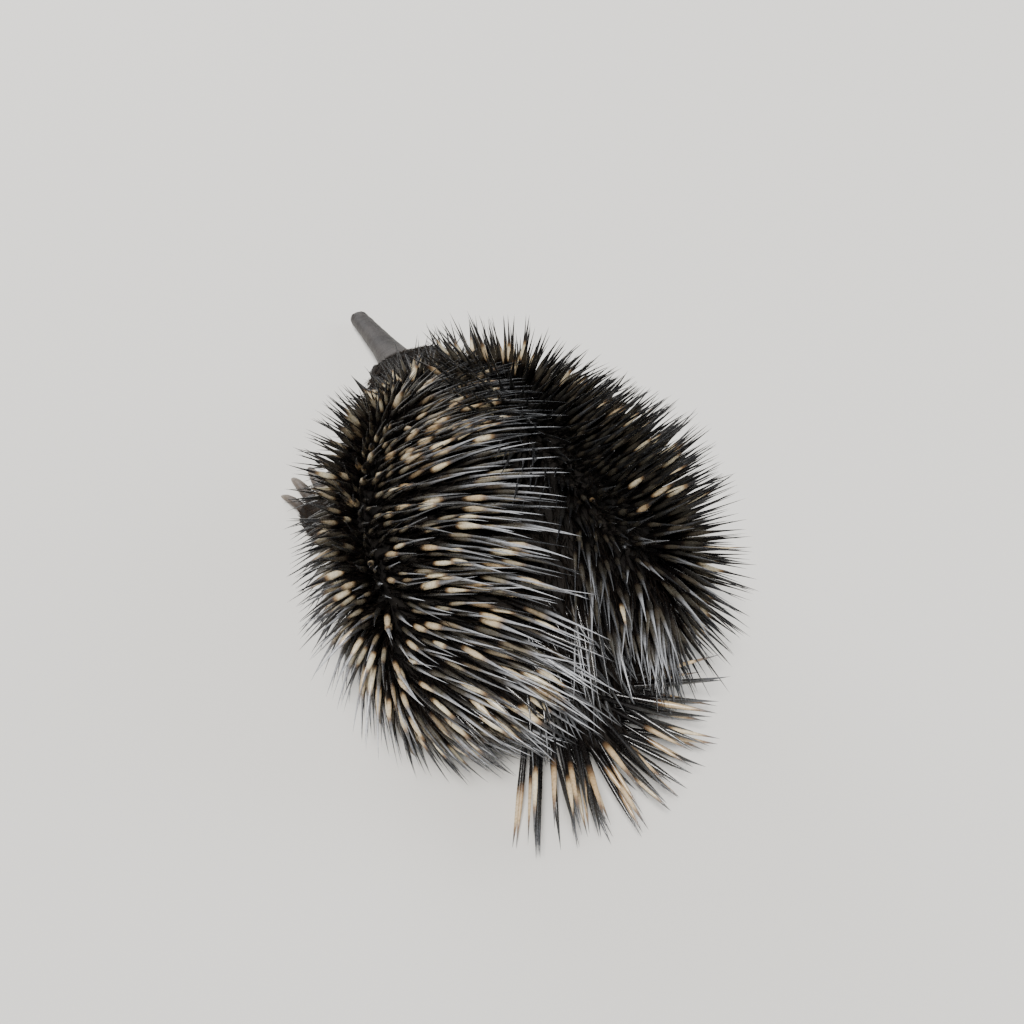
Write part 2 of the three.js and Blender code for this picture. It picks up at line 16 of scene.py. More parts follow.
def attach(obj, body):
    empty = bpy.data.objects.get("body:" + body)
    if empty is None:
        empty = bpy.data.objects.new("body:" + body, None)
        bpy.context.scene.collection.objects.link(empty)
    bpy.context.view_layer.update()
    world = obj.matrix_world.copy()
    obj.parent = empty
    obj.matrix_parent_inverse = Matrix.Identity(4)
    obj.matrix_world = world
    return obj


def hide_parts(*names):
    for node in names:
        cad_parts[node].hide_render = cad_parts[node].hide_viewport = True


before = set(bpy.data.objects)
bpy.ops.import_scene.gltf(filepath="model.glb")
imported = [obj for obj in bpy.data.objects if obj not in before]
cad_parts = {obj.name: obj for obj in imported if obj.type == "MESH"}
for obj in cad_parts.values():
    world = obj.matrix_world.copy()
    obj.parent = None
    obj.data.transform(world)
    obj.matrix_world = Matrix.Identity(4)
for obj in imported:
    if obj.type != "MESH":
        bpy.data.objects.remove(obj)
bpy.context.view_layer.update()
rng = np.random.default_rng(20)
MM = 0.001
DEG = math.pi / 180

# ------------------------------------------------------------ sizes of the body
CENTRE = (-3.19, -30.22)
RUMP, TIP, TIP_ROUND = 38.0, 318.0, 6.0
HEAD_TO = 256.0
SECTIONS = np.array([
    # s, half width, widest at z, top z, underside z
    (0, 64, 46, 98, 9), (38, 72, 44, 106, 7), (68, 79, 44, 114, 6), (100, 79, 44, 114, 6),
    (132, 73, 43, 107, 7), (160, 61, 42, 94, 10), (184, 46, 38, 77, 12), (205, 35, 34, 61, 12.5),
    (226, 29, 29, 51, 12), (242, 22, 25.5, 42, 11.5), (256, 11.5, 21.5, 31, 12.5), (270, 8.2, 18.5, 25, 12),
    (294, 6.3, 13, 18, 8.2), (312, 5.3, 9, 12.9, 5.2), (318, 4.6, 7.8, 11, 4.6)], float)
# under the long quills the skin lies a little deeper than the sections of the solids
HIDE = SECTIONS.copy()
HIDE[:8, 1] -= (4, 6, 6, 6, 6, 5, 3, 1)
HIDE[:8, 3] -= (5, 6, 7, 7, 7, 6, 4, 1.5)
HEADING = np.array([(0, 12), (25, 4), (60, -5), (110, -2), (170, 6), (220, 10), (318, 12)], float)
COAT = dict(left=22.5, right=29.5, shoulder=13.0, hip=36.0, neck=26.0, crown=7.0, cheek=3.2, belly=4.6, rump=25.0)
RIDGE = (60.0, 150.0, 52.0, 8.0, 26.0)   # from, to, psi, lift, reach
LEGS = {
    "fore": dict(pts=[(150, 44, 34), (158, 66, 25), (173, 69, 13)], toe=(194, 69), reach=21.5, r=(15, 12.5, 9.5),
                 w=16.0, h=14.5, heel=12.0, dig=12.0,
                 claws=[(-0.80, -20, 15, 2.6, 2.2), (-0.42, -9, 21, 3.1, 2.5), (0.0, 0, 23.5, 3.3, 2.6), (0.42, 9, 21, 3.1, 2.5), (0.80, 20, 15, 2.6, 2.2)]),
    "hind": dict(pts=[(80, 43, 34), (75, 63, 25), (66, 60, 12)], toe=(42, 56), reach=24.0, r=(17, 13.5, 9.5),
                 w=13.5, h=13.5, heel=13.0, dig=12.0,
                 claws=[(-0.80, -32, 9, 2.0, 1.9), (-0.40, -13, 28, 2.5, 2.4), (0.02, -1, 24, 2.3, 2.2), (0.42, 12, 13, 2.1, 2.0), (0.80, 26, 9, 1.9, 1.8)]),
}
EYE = dict(s=246.0, psi=62.0, r=4.3, sunk=3.4)
EAR = dict(s=222.0, psi=84.0, high=15.0, wide=6.4)
TAIL = dict(s=8.0, side=11.0, z=31.0, turn=13.0, pitch=-16.0, length=54.0)


def smooth(a, b, x):
    t = np.clip((np.asarray(x, float) - a) / (b - a), 0, 1)
    return t * t * (3 - 2 * t)


def unit(v):
    return v / np.maximum(np.linalg.norm(v, axis=-1, keepdims=True), 1e-12)


def through(x, y, q):
    """Monotone cubic through the rows of a table."""
    d = np.diff(y) / np.diff(x)
    m = np.zeros(len(x))
    m[1:-1] = np.where(d[:-1] * d[1:] > 0, 2 * d[:-1] * d[1:] / (d[:-1] + d[1:] + 1e-30), 0)
    m[0], m[-1] = d[0], d[-1]
    q = np.clip(q, x[0], x[-1])
    i = np.clip(np.searchsorted(x, q, side="right") - 1, 0, len(x) - 2)
    h = x[i + 1] - x[i]
    t = (q - x[i]) / h
    return (2*t**3 - 3*t**2 + 1)*y[i] + (t**3 - 2*t**2 + t)*h*m[i] + (-2*t**3 + 3*t**2)*y[i+1] + (t**3 - t**2)*h*m[i+1]


def W(s, T=HIDE): return through(T[:, 0], T[:, 1], s)
def ZC(s, T=HIDE): return through(T[:, 0], T[:, 2], s)
def ZT(s, T=HIDE): return through(T[:, 0], T[:, 3], s)
def ZB(s, T=HIDE): return through(T[:, 0], T[:, 4], s)
def heading(s): return np.interp(s, HEADING[:, 0], HEADING[:, 1]) * DEG


_s = np.arange(0, int(TIP) + 1, dtype=float)
_h = heading(_s[1:] - 0.5)
PLAN = np.concatenate([[[0, 0]], np.cumsum(np.stack([np.sin(_h), -np.cos(_h)], 1), 0)])
PLAN = PLAN - PLAN[100] - np.array(CENTRE)


def place(s, side, z):
    s, side, z = np.broadcast_arrays(np.asarray(s, float), np.asarray(side, float), np.asarray(z, float))
    q = np.clip(s, 0, TIP)
    h = heading(q)
    x = np.interp(q, _s, PLAN[:, 0]) + np.sin(h) * (s - q) - np.cos(h) * side
    y = np.interp(q, _s, PLAN[:, 1]) - np.cos(h) * (s - q) - np.sin(h) * side
    return np.stack([x, y, z], -1)


def forward(s):
    h = heading(np.clip(s, 0, TIP))
    return np.stack([np.sin(h), -np.cos(h), np.zeros_like(h)], -1)


def rightward(s):
    h = heading(np.clip(s, 0, TIP))
    return np.stack([-np.cos(h), -np.sin(h), np.zeros_like(h)], -1)


def cap(s):
    s = np.asarray(s, float)
    c = np.where(s < RUMP, np.sqrt(np.clip(1 - ((RUMP - s) / RUMP) ** 2, 0, 1)), 1.0)
    return np.where(s > TIP - TIP_ROUND, np.sqrt(np.clip(1 - ((s - TIP + TIP_ROUND) / TIP_ROUND) ** 2, 0, 1)), c)


def skin(s, psi, T=HIDE):
    s, psi = np.broadcast_arrays(np.asarray(s, float), np.asarray(psi, float))
    c, n, k = np.cos(psi), np.sin(psi), cap(s)
    up = np.where(c >= 0, (ZT(s, T) - ZC(s, T)) * np.abs(c) ** 0.95, -(ZC(s, T) - ZB(s, T)) * np.abs(c) ** 0.8)
    return place(s, W(s, T) * k * np.sign(n) * np.abs(n) ** 0.9, ZC(s, T) + up * k)


def row_to_s(v): return np.where(v < 1, RUMP * (1 - np.cos(np.minimum(v, 1) * math.pi / 2)), RUMP + (v - 1) * RUMP * math.pi / 2)
def s_to_row(s): return np.where(s < RUMP, np.arccos(np.clip(1 - s / RUMP, -1, 1)) / (math.pi / 2), 1 + (s - RUMP) / (RUMP * math.pi / 2))


def normal(s, psi, T=HIDE):
    s, psi = np.broadcast_arrays(np.asarray(s, float), np.asarray(psi, float))
    v = np.clip(s_to_row(np.clip(s, 0, TIP - 0.1)), 0.03, None)
    dv, dp = 0.012, 2.2 * DEG
    n = np.cross(skin(np.minimum(row_to_s(v + dv), TIP), psi, T) - skin(row_to_s(v - dv), psi, T),
                 skin(row_to_s(v), psi + dp, T) - skin(row_to_s(v), psi - dp, T))
    n = unit(n)
    out = skin(row_to_s(v), psi, T) - place(row_to_s(v), 0, ZC(row_to_s(v)))
    return n * np.where((n * out).sum(-1) < 0, -1.0, 1.0)[..., None]


def body_coords(P):
    """(s, side, psi, level) of points; level is 1 on the body's skin, more outside it."""
    P = np.asarray(P, float)
    best = np.empty(len(P), int)
    for a in range(0, len(P), 20000):
        d = ((P[a:a + 20000, None, :2] - PLAN[None]) ** 2).sum(-1)
        best[a:a + 20000] = d.argmin(1)
    sb = best.astype(float)
    rel = P - place(sb, 0, 0)
    s = sb + (rel * forward(sb)).sum(-1)
    side = (rel * rightward(sb)).sum(-1)
    q = np.clip(s, 0.6, TIP - 0.3)
    k = cap(q)
    a = side / (W(q) * k)
    dz = P[:, 2] - ZC(q)
    b = np.where(dz >= 0, dz / ((ZT(q) - ZC(q)) * k), dz / ((ZC(q) - ZB(q)) * k))
    sn = np.sign(a) * np.abs(a) ** (1 / 0.9)
    cs = np.where(b >= 0, np.abs(b) ** (1 / 0.95), -np.abs(b) ** (1 / 0.8))
    return s, side, np.arctan2(sn, cs), np.hypot(sn, cs)


# ------------------------------------------------------------ mesh helpers
def new_object(name, me):
    o = bpy.data.objects.new(name, me)
    bpy.context.scene.collection.objects.link(o)
    return o


def make_mesh(name, co, faces, uv=None, attrs=None, smooth_shade=True):
    """co in mm; faces is a list of (n, k) arrays; uv and attrs are per vertex."""
    me = bpy.data.meshes.new(name)
    co = np.ascontiguousarray(np.asarray(co, np.float32) * MM)
    me.vertices.add(len(co))
    me.vertices.foreach_set("co", co.ravel())
    loops = np.concatenate([np.asarray(f, np.int32).ravel() for f in faces])
    total = np.concatenate([np.full(len(f), np.asarray(f).shape[1], np.int32) for f in faces])
    start = np.concatenate([[0], np.cumsum(total)[:-1]]).astype(np.int32)
    me.loops.add(len(loops))
    me.loops.foreach_set("vertex_index", loops)
    me.polygons.add(len(total))
    me.polygons.foreach_set("loop_start", start)
    me.polygons.foreach_set("loop_total", total)
    me.update(calc_edges=True)
    me.validate()
    if smooth_shade:
        me.polygons.foreach_set("use_smooth", np.ones(len(total), bool))
    if uv is not None:
        layer = me.uv_layers.new(name="OFBake")
        layer.data.foreach_set("uv", np.ascontiguousarray(uv[loops], np.float32).ravel())
    for key, val in (attrs or {}).items():
        at = me.attributes.new(key, "FLOAT", "POINT")
        at.data.foreach_set("value", np.ascontiguousarray(val, np.float32))
    return me


def loft_arrays(rings, start=None, end=None):
    """Closed loft through rings (k, n, 3), facing out."""
    rings = np.asarray(rings, float)
    k, n, _ = rings.shape
    co = rings.reshape(-1, 3)
    i = np.arange(n)
    j = np.arange(k - 1)[:, None]
    a, b = j * n + i, j * n + (i + 1) % n
    quads = np.stack([a, b, b + n, a + n], -1).reshape(-1, 4)
    c0 = rings[0].mean(0) if start is None else np.asarray(start, float)
    c1 = rings[-1].mean(0) if end is None else np.asarray(end, float)
    co = np.concatenate([co, [c0], [c1]])
    t0 = np.stack([np.full(n, k * n), (i + 1) % n, i], -1)
    t1 = np.stack([np.full(n, k * n + 1), (k - 1) * n + i, (k - 1) * n + (i + 1) % n], -1)
    v = np.einsum("ij,ij->i", co[quads[:, 0]], np.cross(co[quads[:, 1]], co[quads[:, 2]])).sum()
    v += np.einsum("ij,ij->i", co[quads[:, 0]], np.cross(co[quads[:, 2]], co[quads[:, 3]])).sum()
    tris = np.concatenate([t0, t1])
    v += np.einsum("ij,ij->i", co[tris[:, 0]], np.cross(co[tris[:, 1]], co[tris[:, 2]])).sum()
    if v < 0:
        quads, tris = quads[:, ::-1], tris[:, ::-1]
    return co, [quads, tris]


def merge(parts):
    """Joins (co, [quads, tris]) pieces into one."""
    co, q, t, off = [], [], [], 0
    for c, (qq, tt) in parts:
        co.append(c)
        q.append(qq + off)
        t.append(tt + off)
        off += len(c)
    return np.concatenate(co), [np.concatenate(q), np.concatenate(t)]


def capsule(p, q, r0, r1, sides=28, squash=1.0):
    p, q = np.asarray(p, float), np.asarray(q, float)
    ax = unit(q - p)
    ref = np.array([0, 1, 0]) if abs(ax[2]) > 0.9 else np.array([0, 0, 1])
    a = unit(np.cross(ax, ref))
    b = np.cross(a, ax)
    th = np.arange(sides) / sides * 2 * math.pi
    rings = []
    for c, r, lats in ((p, r0, (-75, -55, -35, -15, 0)), (q, r1, (0, 15, 35, 55, 75))):
        for la in lats:
            rings.append(c + ax * r * math.sin(la * DEG) + r * math.cos(la * DEG) * (np.cos(th)[:, None] * a + squash * np.sin(th)[:, None] * b))
    return loft_arrays(rings, p - ax * r0, q + ax * r1)


def spline(points, n):
    """Centripetal-like smooth curve through points."""
    P = np.asarray(points, float)
    d = np.concatenate([[0], np.cumsum(np.linalg.norm(np.diff(P, axis=0), axis=1))])
    q = np.linspace(0, d[-1], n)
    return np.stack([through(d, P[:, k] + 1e-9 * d, q) for k in range(3)], -1)


def tube(points, radii, sides=16, up=(0, 0, 1), squash=1.0, start=None, end=None, n=None):
    """Closed tube along a line; radii are given along it."""
    n = n or len(points)
    C = spline(points, n)
    T = unit(np.gradient(C, axis=0))
    a = unit(np.cross(T, np.asarray(up, float)))
    b = np.cross(a, T)
    r = np.interp(np.linspace(0, 1, n), np.linspace(0, 1, len(radii)), radii)
    th = np.arange(sides) / sides * 2 * math.pi
    rings = C[:, None] + r[:, None, None] * (np.cos(th)[None, :, None] * a[:, None] + squash * np.sin(th)[None, :, None] * b[:, None])
    return loft_arrays(rings, start if start is not None else C[0] - T[0] * r[0] * 0.5, end if end is not None else C[-1] + T[-1] * r[-1] * 0.6)


# ------------------------------------------------------------ limbs and claws
def leg_points(L, q):
    return [place(s, q * d, z) for s, d, z in L["pts"]]


def foot_frame(L, q):
    s, d, _ = L["pts"][2]
    root = place(s, q * d, 0.0)
    dirn = unit(place(L["toe"][0], q * L["toe"][1], 0.0) - root)
    side = unit(np.cross(dirn, [0, 0, 1])) * q
    return root, dirn, side


def foot_loft(L, q, grow=0.0):
    root, dirn, side = foot_frame(L, q)
    lo, hi = -L["heel"], L["reach"] - 2
    n = 40
    rings = []
    for t, w, h in ((0, 0.42, 0.5), (0.1, 0.7, 0.8), (0.28, 0.88, 1), (0.55, 0.98, 0.98), (0.8, 1, 0.84), (0.94, 0.86, 0.68), (1, 0.6, 0.5)):
        c = root + dirn * (lo + (hi - lo) * t)
        a = (np.arange(n) + 0.5) / n * 2 * math.pi
        zc = L["h"] * 0.36
        y = (L["w"] * w - 0.6 + grow) * np.sign(np.cos(a)) * np.abs(np.cos(a)) ** 0.85
        sn = np.sin(a)
        z = np.where(sn > 0, zc + (L["h"] * h - zc - 0.8 + grow) * np.abs(sn) ** 0.9, zc - (zc + 1.6) * np.abs(sn) ** 0.8)
        ring = c + side * y[:, None]
        ring[:, 2] = np.maximum(z, 0.35)
        rings.append(ring)
    return loft_arrays(rings)


def claw_line(L, q, row, hind):
    at, spread, length, w, h = row
    root, dirn, side = foot_frame(L, q)
    front = L["reach"] - 2 - L["dig"] * 0.5 - abs(at) ** 2 * 5.5
    p = root + dirn * front + side * (at * L["w"] * 0.92)
    p[2] = 6.4
    n, total, head = 5, length + 8, spread * DEG
    pts = []
    for k in range(n + 1):
        pts.append(p.copy())
        p = p + (dirn * math.cos(head) + side * math.sin(head)) * (total / n)
        f = (k + 1) / n
        p[2] = 6.4 + (1.55 - 6.4) * f ** (1.3 if hind else 1.6) + 1.9 * math.sin(math.pi * min(1, f) * 0.9)
        if hind:
            head += (5.5 if at < 0.2 else 3) * DEG
    return np.array(pts), w, h


# ------------------------------------------------------------ the skin
def ear_frame(q):
    a = q * EAR["psi"] * DEG
    n = normal(EAR["s"], a)
    c = skin(EAR["s"], a)
    f = forward(EAR["s"])
    up = unit(np.cross(n, f))
    up = up if up[2] > 0 else -up
    fore = unit(np.cross(up, n))
    fore = fore if fore @ f > 0 else -fore
    return c, n, up, fore


def eye_frame(q):
    a = q * EYE["psi"] * DEG
    n = normal(EYE["s"], a)
    coat = 2.0
    c = skin(EYE["s"], a) + n * (coat - EYE["sunk"])
    f = forward(EYE["s"])
    f = unit(f - n * (f @ n))
    up = np.cross(n, f)
    up = up if up[2] > 0 else -up
    return c, n, up, f


def skin_pieces():
    rows = np.concatenate([np.linspace(0.03, 5.6, 150), np.linspace(5.62, 5.688, 12)])
    s = np.minimum(row_to_s(rows), TIP - 0.02)
    psi = np.arange(128) / 128 * 2 * math.pi - math.pi
    body = skin(s[:, None], psi[None, :])
    parts = [loft_arrays(body, skin(0.0, 0.0), skin(TIP, 0.0))]
    for name, L in LEGS.items():
        for q in (-1, 1):
            p = leg_points(L, q)
            parts.append(capsule(p[0], p[1], L["r"][0] - 1.5, L["r"][1] - 1.2))
            parts.append(capsule(p[1], p[2], L["r"][1] - 1.2, L["r"][2] - 0.8))
            parts.append(foot_loft(L, q))
            for row in L["claws"]:
                line, w, h = claw_line(L, q, row, name == "hind")
                d = unit(line[1] - line[0])
                root, dirn, _ = foot_frame(L, q)
                back = line[0] - dirn * 9 + np.array([0, 0, 0.2])
                tip = line[0] + d * (2.2 if name == "fore" else 2.0)
                parts.append(capsule(back, tip, 5.2, w + 1.5 if name == "fore" else w + 1.7, sides=20, squash=0.92))
    root, back, side, up = tail_frame()
    parts.append(tube([root - back * 12, root, root + back * 14, root + back * 25], [19, 17.5, 13, 8.5], sides=32, squash=0.82, n=16, end=root + back * 30))
    for q in (-1, 1):
        c, n, upv, fore = ear_frame(q)
        a = np.linspace(-1.25, 1.25, 15)
        rim = [c + n * (1.2 + 1.3 * math.cos(t)) + upv * (6.9 * math.sin(t)) - fore * (3.1 * math.cos(t) - 1.1) for t in a]
        parts.append(tube(rim, [0.9, 1.6, 1.9, 1.9, 1.6, 0.9], sides=14, n=22, up=n))
    return parts


def tail_frame():
    root = place(TAIL["s"], TAIL["side"], TAIL["z"])
    h = heading(0.0) + TAIL["turn"] * DEG
    back = unit(np.array([-math.sin(h), math.cos(h), math.tan(TAIL["pitch"] * DEG)]))
    side = unit(np.cross(back, [0, 0, 1]))
    return root, back, side, np.cross(side, back)


def mesh_arrays(me):
    co = np.empty(len(me.vertices) * 3, np.float32)
    me.vertices.foreach_get("co", co)
    me.calc_loop_triangles()
    tri = np.empty(len(me.loop_triangles) * 3, np.int32)
    me.loop_triangles.foreach_get("vertices", tri)
    return co.reshape(-1, 3).astype(float) / MM, tri.reshape(-1, 3)


def vertex_normals(me):
    n = np.empty(len(me.vertices) * 3, np.float32)
    me.vertices.foreach_get("normal", n)
    return n.reshape(-1, 3).astype(float)


def set_co(me, co):
    me.vertices.foreach_set("co", np.ascontiguousarray(co * MM, np.float32).ravel())
    me.update()


def build_skin():
    co, faces = merge(skin_pieces())
    raw = new_object("skin_raw", make_mesh("skin_raw", co, faces))
    mod = raw.modifiers.new("solid", "REMESH")
    mod.mode = "VOXEL"
    mod.voxel_size = 1.35 * MM
    mod.use_smooth_shade = True
    dg = bpy.context.evaluated_depsgraph_get()
    me = bpy.data.meshes.new_from_object(raw.evaluated_get(dg))
    me.name = "echidna_skin"
    bpy.data.objects.remove(raw)
    # soften the joins of limbs, toes and tail
    co, _ = mesh_arrays(me)
    ed = np.empty(len(me.edges) * 2, np.int32)
    me.edges.foreach_get("vertices", ed)
    ed = ed.reshape(-1, 2)
    deg = np.bincount(ed.ravel(), minlength=len(co)).astype(float)[:, None]
    s, side, psi, level = body_coords(co)
    limb = np.clip(smooth(0.93, 1.0, level), 0, 1)
    keep = (0.55 * smooth(250, 262, s))[:, None]
    for k in range(10):
        m = np.stack([np.bincount(ed[:, 0], co[ed[:, 1], c], len(co)) + np.bincount(ed[:, 1], co[ed[:, 0], c], len(co)) for c in range(3)], 1) / deg
        f = 0.5 if k < 3 else 0.5 * limb[:, None] * (s < 215)[:, None]
        co = co + (m - co) * f * (1 - keep)
    co[:, 2] = np.maximum(co[:, 2], 0.35)
    set_co(me, co)
    # finer mesh on the head, finest at the eyes and the tip of the beak
    for lim in (0, 1):
        co, _ = mesh_arrays(me)
        s, side, psi, level = body_coords(co)
        if lim == 0:
            sel = s > 216
        else:
            sel = (s > 300)
            for q in (-1, 1):
                sel |= np.linalg.norm(co - eye_frame(q)[0], axis=1) < 9.5
                sel |= np.linalg.norm(co - ear_frame(q)[0], axis=1) < 8.5
        bm = bmesh.new()
        bm.from_mesh(me)
        bm.verts.ensure_lookup_table()
        edges = [e for e in bm.edges if sel[e.verts[0].index] and sel[e.verts[1].index]]
        bmesh.ops.subdivide_edges(bm, edges=edges, cuts=1, use_grid_fill=True, smooth=0.0)
        bmesh.ops.triangulate(bm, faces=[f for f in bm.faces if len(f.verts) > 4])
        bm.to_mesh(me)
        bm.free()
    me.update()
    shape_head(me)
    me.polygons.foreach_set("use_smooth", np.ones(len(me.polygons), bool))
    return me


def noise3(P, scale, seed=0, octaves=2):
    """Cheap smooth noise from a few sine waves, about -1..1."""
    r = np.random.default_rng(seed)
    out = np.zeros(len(P))
    amp = 1.0
    for o in range(octaves):
        for k in range(5):
            d = unit(r.normal(size=3)) * (2 * math.pi / scale) * (2 ** o) * r.uniform(0.7, 1.3)
            out += amp * np.sin(P @ d + r.uniform(0, 2 * math.pi)) / 5 * 1.6
        amp *= 0.5
    return out


def shape_head(me):
    co, _ = mesh_arrays(me)
    n = vertex_normals(me)
    s, side, psi, level = body_coords(co)
    a = np.abs(psi) / DEG
    head = smooth(218, 232, s) * smooth(300, 262, s)
    # low brow over each eye, hollow in front of it, full cheek below and behind
    co += n * (head * (1.3 * np.exp(-((s - 243) / 7) ** 2 - ((a - 40) / 16) ** 2)
                       - 1.3 * np.exp(-((s - 257) / 6) ** 2 - ((a - 70) / 26) ** 2)
                       + 1.5 * np.exp(-((s - 234) / 9) ** 2 - ((a - 98) / 26) ** 2)))[:, None]
    # soft cross folds at the root of the beak and a faint ridge along its top
    fold = smooth(254, 258, s) * smooth(284, 268, s)
    warp = 1.4 * noise3(co, 16.0, 31, 1)
    ripple = np.sin((s + warp) * 2 * math.pi / 3.1) + 0.6 * np.sin((s - 0.7 * warp) * 2 * math.pi / 1.9 + 1.0)
    co += n * (0.075 * fold * ripple * (0.55 + 0.45 * noise3(co, 9.0, 32, 1)))[:, None]
    co += n * (0.09 * smooth(258, 280, s) * noise3(co, 5.0, 5, 2))[:, None]
    # nostrils: short slots with a raised rim near the tip
    for q in (-1, 1):
        c = skin(313.0, q * 36 * DEG)
        nn, f = normal(313.0, q * 36 * DEG), forward(313.0)
        b = np.cross(nn, f)
        d = co - c
        u, v = (d @ f) / 1.25, (d @ b) / 0.62
        near = np.abs(d @ nn) < 3
        r = np.sqrt(u * u + v * v)
        co += near[:, None] * nn * (0.28 * np.exp(-((r - 1.5) / 0.5) ** 2) - 1.15 * smooth(1.15, 0.45, r))[:, None]
    # mouth: a narrow slit round the end of the beak, below the middle
    lip = smooth(306.5, 309.5, s) * (s > 300)
    d = co[:, 2] - (7.1 + 0.05 * (312 - s))
    co += n * (lip * (-0.75 * np.exp(-(d / 0.36) ** 2) + 0.22 * np.exp(-((np.abs(d) - 0.95) / 0.5) ** 2)))[:, None]
    # eyes: an almond opening, lids wrapped over the ball
    for q in (-1, 1):
        c, nn, up, f = eye_frame(q)
        d = co - c
        x, y, h = d @ f, d @ up, d @ nn
        r = EYE["r"]
        tilt = y - 0.10 * x
        e = np.sqrt((x / 2.95) ** 2 + (tilt / np.where(tilt > 0, 2.05, 1.85)) ** 2)
        rho = np.sqrt(x * x + y * y)
        near = (rho < 9) & (h > -6)
        ball = np.sqrt(np.maximum(r * r - np.minimum(rho, r) ** 2, 0))
        lid = ball + 0.55 - 0.25 * smooth(1.25, 1.0, e)
        over = np.where(rho < r, lid, 0.55 + (lid * 0))
        want = np.maximum(h, over * smooth(7.8, 4.4, rho) + h * (1 - smooth(7.8, 4.4, rho)))
        # creases of the lids
        th = np.arctan2(tilt, x)
        above = smooth(-0.2, 0.6, np.sin(th))
        want += 0.26 * np.exp(-((e - 1.14) / 0.09) ** 2)
        want -= (0.10 + 0.26 * above) * np.exp(-((e - 1.46 - 0.10 * np.cos(th)) / 0.10) ** 2)
        want -= 0.16 * (1 - above) * np.exp(-((e - 1.78 + 0.12 * np.sin(2 * th)) / 0.11) ** 2)
        want += 0.05 * np.sin(th * 17 + 2 * np.sin(th * 3)) * smooth(1.2, 1.4, e) * smooth(2.6, 1.9, e)
        inside = smooth(1.03, 0.86, e)
        want = want * (1 - inside) + (-1.5) * inside
        co += near[:, None] * nn * (want - h)[:, None]
    # ears: a slit in front of the raised rim
    for q in (-1, 1):
        c, nn, up, fore = ear_frame(q)
        d = co - c
        u, v, h = d @ up, d @ fore, d @ nn
        r = np.sqrt((u / 5.6) ** 2 + ((v - 0.4 - 0.02 * u * u) / 1.3) ** 2)
        co += ((np.abs(h) < 6)[:, None] * nn * (-2.0 * smooth(1.25, 0.4, r))[:, None])
    # wrinkles on the bare parts of the feet
    foot = smooth(15, 9, co[:, 2]) * (level > 1.02)
    co += n * (foot * 0.16 * noise3(co, 5.0, 9, 2))[:, None]
    co[:, 2] = np.maximum(co[:, 2], 0.35)
    set_co(me, co)


skin_me = build_skin()
skin_ob = new_object("echidna_skin", skin_me)
SK_CO, SK_TRI = mesh_arrays(skin_me)
SK_N = vertex_normals(skin_me)

# ------------------------------------------------------------ sampling the skin
FOOT = {(n, q): foot_frame(L, q) for n, L in LEGS.items() for q in (-1, 1)}
TAIL_ROOT, TAIL_BACK, TAIL_SIDE, TAIL_UP = tail_frame()


def scatter(count):
    a, b, c = (SK_CO[SK_TRI[:, k]] for k in range(3))
    area = np.linalg.norm(np.cross(b - a, c - a), axis=1) / 2
    ctr = (a + b + c) / 3
    s, _, _, level = body_coords(ctr)
    foot = (ctr[:, 2] < 17) & (level > 1.03)
    weight = area * np.where(s > 205, 3.2, 1.0) * np.where(foot, 4.0, 1.0)
    pick = rng.choice(len(area), count, p=weight / weight.sum())
    u, v = rng.random(count), rng.random(count)
    f = u + v > 1
    u[f], v[f] = 1 - u[f], 1 - v[f]
    t = SK_TRI[pick]
    P = a[pick] + u[:, None] * (b - a)[pick] + v[:, None] * (c - a)[pick]
    N = unit(SK_N[t[:, 0]] * (1 - u - v)[:, None] + SK_N[t[:, 1]] * u[:, None] + SK_N[t[:, 2]] * v[:, None])
    return P, N


def thin_out(P, r, cell=None):
    """Indices of points kept so that none is nearer than its own r."""
    cell = cell or float(r.max())
    grid, kept = {}, []
    key = np.floor(P / cell).astype(int)
    pts, rad = P.tolist(), (r * r).tolist()
    offs = [(i, j, k) for i in (-1, 0, 1) for j in (-1, 0, 1) for k in (-1, 0, 1)]
    for i in range(len(pts)):
        kx, ky, kz = key[i]
        x, y, z = pts[i]
        ok = True
        for ox, oy, oz in offs:
            for (px, py, pz) in grid.get((kx + ox, ky + oy, kz + oz), ()):
                if (px - x) ** 2 + (py - y) ** 2 + (pz - z) ** 2 < rad[i]:
                    ok = False
                    break
            if not ok:
                break
        if ok:
            grid.setdefault((kx, ky, kz), []).append((x, y, z))
            kept.append(i)
    return np.array(kept, int)


def segment_coords(P, A, B):
    ax = B - A
    L2 = ax @ ax
    t = ((P - A) @ ax) / L2
    d = P - (A + np.clip(t, 0, 1)[:, None] * ax)
    return t, np.linalg.norm(d, axis=1), d


